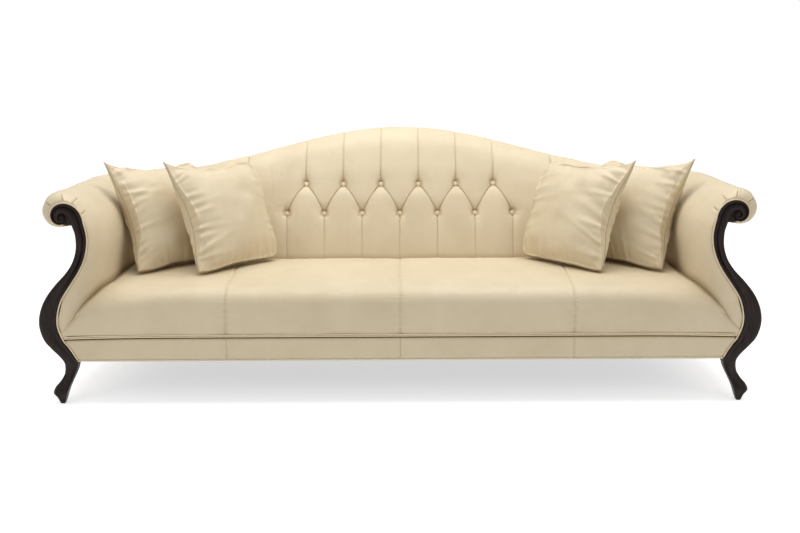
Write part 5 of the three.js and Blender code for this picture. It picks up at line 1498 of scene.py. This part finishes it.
# The part of an edge that is gathered, how a crease strays from its even place, and how it slants at the
# level edges and at the upright ones. Then its length, its width and its depth.
PUCKER_SPAN, PUCKER_SHIFT = 1.7, 0.06
PUCKER_SLANTS = {True: (-0.4, 0.4), False: (-0.15, 0.6)}
PUCKER_LENGTHS, PUCKER_WIDTHS, PUCKER_DEPTHS = (0.06, 0.14), (0.0065, 0.0115), (0.0025, 0.006)
# The creases' strength on the rear sheet, where they start, how they widen, and the swells beside them.
PUCKER_REAR, PUCKER_START = 0.45, 0.045
PUCKER_NARROW, PUCKER_WIDEN = 0.8, 0.16
PUCKER_SWELL, PUCKER_SWELL_PLACE = 0.55, 1.9
# How far the corners are drawn out or in, and how far they rise or slump.
TIP_OUT, NEAR_IN, FAR_IN = 0.009, 0.011, 0.044
TIP_RISE, NEAR_SLUMP, FAR_UPPER_SLUMP, FAR_LOWER_SLUMP = 0.03, 0.016, 0.06, 0.034


def pillow_face(face, rise_share, seed):
    """One sheet of a pillow, lying in X and Z: knife edges, pulled-in sides and drawn-out corners."""
    s = sizes()
    crowding = math.pi * PILLOW_CROWDING
    line = np.sin(np.linspace(-1, 1, PILLOW_LINES) * math.pi * PILLOW_CROWDING) / math.sin(crowding)
    u, v = np.meshgrid(line, line, indexing="ij")
    half = s.pillow_size / 2
    pinch = (PILLOW_PINCH, np.where(v < 0, PILLOW_PINCH_BELOW, PILLOW_PINCH))
    x, z = (
        (half - pulled * (1 - b**2) * np.abs(a) ** 3) * a for pulled, a, b in zip(pinch, (u, v), (v, u))
    )
    bowl = np.clip((1 - u**2) * (1 - v**2), 0, 1) ** PILLOW_FULLNESS
    points = np.stack([x, face * s.pillow_thickness / 2 * bowl * rise_share, z], axis=-1)
    uneven = value_noise(points.reshape(-1, 3), FILLING_LUMP, seed).reshape(u.shape)
    points[..., 1] += face * FILLING_RISE * uneven * np.sqrt(bowl)
    return points


def pillow_mesh(name, rise_share, seed, material):
    """Both sheets, sewn together at their shared rim."""
    count = PILLOW_LINES
    sheets = [pillow_face(face, rise_share, seed + 7 * (face > 0)) for face in (-1, 1)]
    rim = np.zeros((count, count), bool)
    rim[[0, -1], :] = rim[:, [0, -1]] = True
    vertices = list(sheets[0].reshape(-1, 3))
    number = np.arange(count * count).reshape(count, count)
    other = number.copy()
    for i, j in zip(*np.where(~rim)):
        other[i, j] = len(vertices)
        vertices.append(sheets[1][i, j])
    faces = []
    for grid, turned in ((number, False), (other, True)):
        for i in range(count - 1):
            for j in range(count - 1):
                quad = (grid[i, j], grid[i + 1, j], grid[i + 1, j + 1], grid[i, j + 1])
                faces.append(tuple(int(k) for k in (quad[::-1] if turned else quad)))
    return face_outwards(add_object(name, vertices, faces, material))


def coordinates(mesh):
    flat = np.empty(len(mesh.vertices) * 3)
    mesh.vertices.foreach_get("co", flat)
    return flat.reshape(-1, 3)


def evened(mesh, moved):
    """Movements evened out a little between neighbours, so that none ends in a ridge."""
    edges = np.empty(len(mesh.edges) * 2, np.int32)
    mesh.edges.foreach_get("vertices", edges)
    first, second = edges.reshape(-1, 2).T
    count = np.bincount(edges, minlength=len(moved))[:, None]
    for _ in range(PILLOW_EVENING):
        around = np.zeros_like(moved)
        np.add.at(around, first, moved[second])
        np.add.at(around, second, moved[first])
        moved = lerp(moved, around / count, 0.5)
    return moved


def inflate(obj):
    """Blow the sewn sheets up as cloth, so that the leather wrinkles towards its seams."""
    scene = bpy.context.scene
    before = coordinates(obj.data)
    modifier = obj.modifiers.new("Inflating", "CLOTH")
    cloth = modifier.settings
    cloth.quality = 6
    cloth.mass = 0.25
    cloth.tension_stiffness = cloth.compression_stiffness = 20
    cloth.shear_stiffness = 8
    cloth.bending_stiffness = 0.6
    cloth.tension_damping = cloth.compression_damping = 8
    cloth.air_damping = 2
    cloth.use_pressure = True
    cloth.uniform_pressure_force = 4
    cloth.effector_weights.gravity = 0
    modifier.collision_settings.use_collision = False
    modifier.point_cache.frame_start, modifier.point_cache.frame_end = 1, PILLOW_FRAMES
    for step in range(1, PILLOW_FRAMES + 1):
        scene.frame_set(step)
    made = obj.evaluated_get(bpy.context.evaluated_depsgraph_get()).data
    after = coordinates(made)
    obj.modifiers.remove(modifier)
    scene.frame_set(1)
    moved = after - before
    far = np.maximum(np.linalg.norm(moved, axis=1), 1e-9)[:, None]
    moved = evened(obj.data, moved * PILLOW_CAP * np.tanh(far / PILLOW_CAP) / far)
    obj.data.vertices.foreach_set("co", (before + moved).ravel())
    obj.data.update()


def fit_pillow(obj, seed):
    """Bring a blown-up pillow back to its cut size and thickness, centred."""
    s = sizes()
    points = coordinates(obj.data)
    low, high = points.min(axis=0), points.max(axis=0)
    wanted = np.array([s.pillow_size, s.pillow_thickness, s.pillow_size]) * PILLOW_SHARE
    points = drawn_corners((points - (low + high) / 2) * wanted / (high - low))
    obj.data.vertices.foreach_set("co", points.ravel())
    obj.data.update()
    obj.modifiers.new("Smoothing", "SUBSURF").levels = 1
    obj.data = bpy.data.meshes.new_from_object(obj.evaluated_get(bpy.context.evaluated_depsgraph_get()))
    obj.modifiers.clear()
    points = coordinates(obj.data)
    normals = np.empty(points.size)
    obj.data.vertices.foreach_get("normal", normals)
    points -= normals.reshape(-1, 3) * puckers(points, seed)[:, None]
    obj.data.vertices.foreach_set("co", points.ravel())
    obj.data.update()


def drawn_corners(points):
    """Draw out the near upper corner and slump the others."""
    half = sizes().pillow_size / 2
    x, z = points[:, 0] / half, points[:, 2] / half
    corner = (np.abs(x) * np.abs(z)).clip(0, 1)
    tip = (x < 0) & (z > 0)
    pull = np.where(tip, corner**9 * TIP_OUT, -(corner**4) * np.where(x < 0, NEAR_IN, FAR_IN))
    slump = np.where(x < 0, NEAR_SLUMP, np.where(z > 0, FAR_UPPER_SLUMP, FAR_LOWER_SLUMP))
    rise = np.where(tip, corner**7 * TIP_RISE, -np.sign(z) * corner**4 * slump)
    return points + np.stack([np.sign(x) * pull, np.zeros(len(points)), rise], axis=1)


def puckers(points, seed):
    """How far the leather is drawn in where it is gathered along the seams."""
    half = sizes().pillow_size / 2
    dice = np.random.default_rng(seed)
    face = np.sign(points[:, 1])
    drawn = np.zeros(len(points))
    for level, side, count, strength in PUCKER_EDGES:
        across, along = (points[:, 0], points[:, 2]) if level else (points[:, 2], points[:, 0])
        gap = half - PILLOW_PINCH * (1 - (across / half) ** 2) - side * along
        run = np.hypot(np.maximum(gap, 0), points[:, 1])
        for sheet, share in ((-1, strength), (1, strength * PUCKER_REAR)):
            for place in (np.arange(count) + 0.5) / count * PUCKER_SPAN - PUCKER_SPAN / 2:
                place = half * (place + dice.uniform(-PUCKER_SHIFT, PUCKER_SHIFT))
                slant = dice.uniform(*PUCKER_SLANTS[level])
                length, width = dice.uniform(*PUCKER_LENGTHS), dice.uniform(*PUCKER_WIDTHS)
                deep = dice.uniform(*PUCKER_DEPTHS) * share
                off = (across - place - slant * run) / (width * (PUCKER_NARROW + run / PUCKER_WIDEN))
                fade = smooth(run / PUCKER_START) * np.exp(-((run / length) ** 2))
                swell = PUCKER_SWELL * np.exp(-((np.abs(off) - PUCKER_SWELL_PLACE) ** 2))
                drawn += (face == sheet) * deep * fade * (np.exp(-(off**2)) - swell)
    return drawn


def seam_fold(obj, name):
    """The fold of a pillow's seam, along the finished rim, in a darker copy of the leather as painted shade.
    """
    rim = [number for side in rim_of(PILLOW_LINES, PILLOW_LINES) for number in side[:-1]]
    loop = coordinates(obj.data)[rim + rim[:1]]
    return tube(name, resampled(loop, SEAM_SPACING), SEAM_RADIUS, finish_for("leather_seam_painted_shade"), sides=8)


def set_down(obj, place, sign):
    """Lean a pillow back, turn it towards the middle and rest it on the seat."""
    s = sizes()
    turn = Matrix.Rotation(s.pillow_turn, 3, "Z") @ Matrix.Rotation(-s.pillow_lean, 3, "X")
    points = coordinates(obj.data) @ np.array(turn).T + [-place[0], place[1], 0]
    points[:, 0] *= -sign
    tree = surfaces_of(["leather_seat"])
    drop = []
    for point in points[points[:, 2] < points[:, 2].min() + PILLOW_FOOT]:
        hit = tree.ray_cast(Vector((point[0], point[1], 1.0)), Vector((0, 0, -1)))[0]
        drop.append(point[2] - (s.seat_height if hit is None else hit.z))
    points[:, 2] += PILLOW_REST - min(drop)
    obj.data.vertices.foreach_set("co", points.ravel())
    obj.data.update()
    face_outwards(obj)


class SOFA_OT_pillows(bpy.types.Operator):
    """Fill the four loose pillows and lean them in the corners"""

    bl_idname = "sofa.pillows"
    bl_label = "Pillows"

    def execute(self, context):
        for number, name in enumerate(PILLOWS):
            row, side = name.split("_pillow_")
            rise_share = PILLOW_START_RISE
            pillow = pillow_mesh(f"leather_{name}", rise_share, FILLING_SEED + 20 * number,
                                 finish_for("leather_pillow"))
            inflate(pillow)
            fit_pillow(pillow, PUCKER_SEED + number)
            set_down(pillow, PILLOW_PLACES[row], SIDES[side])
            seated(pillow, name, body=name, fill=0.76)
            seated(seam_fold(pillow, f"leather_seam_painted_shade_{name}"), name, body=name)
        return {"FINISHED"}


# The frame inside

FRAME_FINISHES = (("webbing_", "jute_webbing"), ("rear_leg_post_", "espresso_wood"))


class SOFA_OT_frame(bpy.types.Operator):
    """Finish the hardwood frame, the webbing and the cloth under the seat"""

    bl_idname = "sofa.frame"
    bl_label = "Frame, webbing and dust cover"

    def execute(self, context):
        for name, obj in NODES.items():
            finish = next((made for start, made in FRAME_FINISHES if name.startswith(start)), "frame_wood")
            obj.data.materials.clear()
            obj.data.materials.append(finish_for(finish))
        shown = bpy.data.objects["dust_cover"]
        cloth = bpy.data.objects.new("cambric_dust_cover", shown.data.copy())
        cloth.matrix_world = shown.matrix_world.copy()
        cloth.data.materials.clear()
        cloth.data.materials.append(finish_for("black_cambric"))
        context.scene.collection.objects.link(cloth)
        seated(cloth, "dust_cover", slot="black_cambric")
        return {"FINISHED"}


# Studio

# The lamps: name, place, the point that they face, size and watts.
LAMPS = (
    ("top_softbox", (0, 0.1, 3.2), (0, 0.1, 0.4), (4.4, 1.8), 85),
    ("left_softbox", (-3.4, -3.2, 2.3), (-0.4, 0, 0.5), (1.8, 1.8), 17),
    ("right_softbox", (3.4, -3.2, 2.3), (0.4, 0, 0.5), (1.8, 1.8), 13),
)
AMBIENT = 0.5
FLOOR_HALF = 14.0
CAMERA_LENS, CAMERA_PLACE, CAMERA_TILT, CAMERA_ROLL = 49.5, (0, -4.7134, 1.5089), math.radians(77.5), -0.0052


def area_lamp(name, place, target, size, energy):
    data = bpy.data.lights.new(name, "AREA")
    data.shape = "RECTANGLE"
    data.size, data.size_y = size
    data.energy = energy
    lamp = bpy.data.objects.new(name, data)
    lamp.location = place
    lamp.rotation_euler = (Vector(target) - Vector(place)).to_track_quat("-Z", "Y").to_euler()
    bpy.context.scene.collection.objects.link(lamp)
    return lamp


class SOFA_OT_studio(bpy.types.Operator):
    """Set up the white floor, the softboxes and the camera"""

    bl_idname = "sofa.studio"
    bl_label = "Studio"

    def execute(self, context):
        scene = context.scene
        world = bpy.data.worlds.new("studio_light")
        scene.world = world
        world.use_nodes = True
        nodes, links = world.node_tree.nodes, world.node_tree.links
        nodes.clear()
        seen = nodes.new("ShaderNodeLightPath")
        strength = nodes.new("ShaderNodeMix")
        set_inputs(strength, {"A": AMBIENT, "B": 1.0})
        shade = nodes.new("ShaderNodeBackground")
        set_inputs(shade, {"Color": (1, 1, 1, 1)})
        output = nodes.new("ShaderNodeOutputWorld")
        links.new(seen.outputs["Is Camera Ray"], strength.inputs["Factor"])
        links.new(strength.outputs["Result"], shade.inputs["Strength"])
        links.new(shade.outputs["Background"], output.inputs["Surface"])
        corners = [(x * FLOOR_HALF, y * FLOOR_HALF, 0) for x, y in ((-1, -1), (1, -1), (1, 1), (-1, 1))]
        floor = add_object("studio_floor_sheet", corners, [(0, 1, 2, 3)], finish_for("studio_floor"))
        lamps = [area_lamp(*lamp) for lamp in LAMPS]
        data = bpy.data.cameras.new("studio_camera")
        data.lens, data.sensor_width = CAMERA_LENS, 36
        camera = bpy.data.objects.new("studio_camera", data)
        camera.matrix_world = (Matrix.Translation(CAMERA_PLACE) @ Matrix.Rotation(CAMERA_TILT, 4, "X")
                               @ Matrix.Rotation(CAMERA_ROLL, 4, "Z"))
        scene.collection.objects.link(camera)
        scene.camera = camera
        scene.view_settings.view_transform = "Standard"
        return {"FINISHED"}


# Panel and registration

PIECES = (
    SOFA_OT_inside_arms, SOFA_OT_tufted_back, SOFA_OT_buttons, SOFA_OT_outside_covers, SOFA_OT_seat,
    SOFA_OT_front_border, SOFA_OT_welts, SOFA_OT_carved_stumps, SOFA_OT_pillows, SOFA_OT_frame,
)


class SOFA_PT_panel(bpy.types.Panel):
    """Sizes, colours and the steps that build the sofa"""

    bl_label = "Camelback Sofa"
    bl_idname = "SOFA_PT_panel"
    bl_space_type = "VIEW_3D"
    bl_region_type = "UI"
    bl_category = "Sofa"

    def draw(self, context):
        settings = context.scene.sofa
        for title, group in (("Sizes", settings.sizes), ("Colours", settings.colours)):
            box = self.layout.box()
            box.label(text=title)
            for name in group.__annotations__:
                box.prop(group, name)
        column = self.layout.column(align=True)
        for operator in (*PIECES, SOFA_OT_studio):
            column.operator(operator.bl_idname)


CLASSES = (SofaSizes, SofaColours, SofaSettings, *PIECES, SOFA_OT_studio, SOFA_PT_panel)


def register():
    for made in CLASSES:
        bpy.utils.register_class(made)
    bpy.types.Scene.sofa = PointerProperty(type=SofaSettings)


def unregister():
    del bpy.types.Scene.sofa
    for made in reversed(CLASSES):
        bpy.utils.unregister_class(made)


def main():
    register()
    for operator in (*PIECES, SOFA_OT_studio):
        getattr(bpy.ops.sofa, operator.bl_idname.split(".")[1])()


if __name__ == "__main__":
    main()
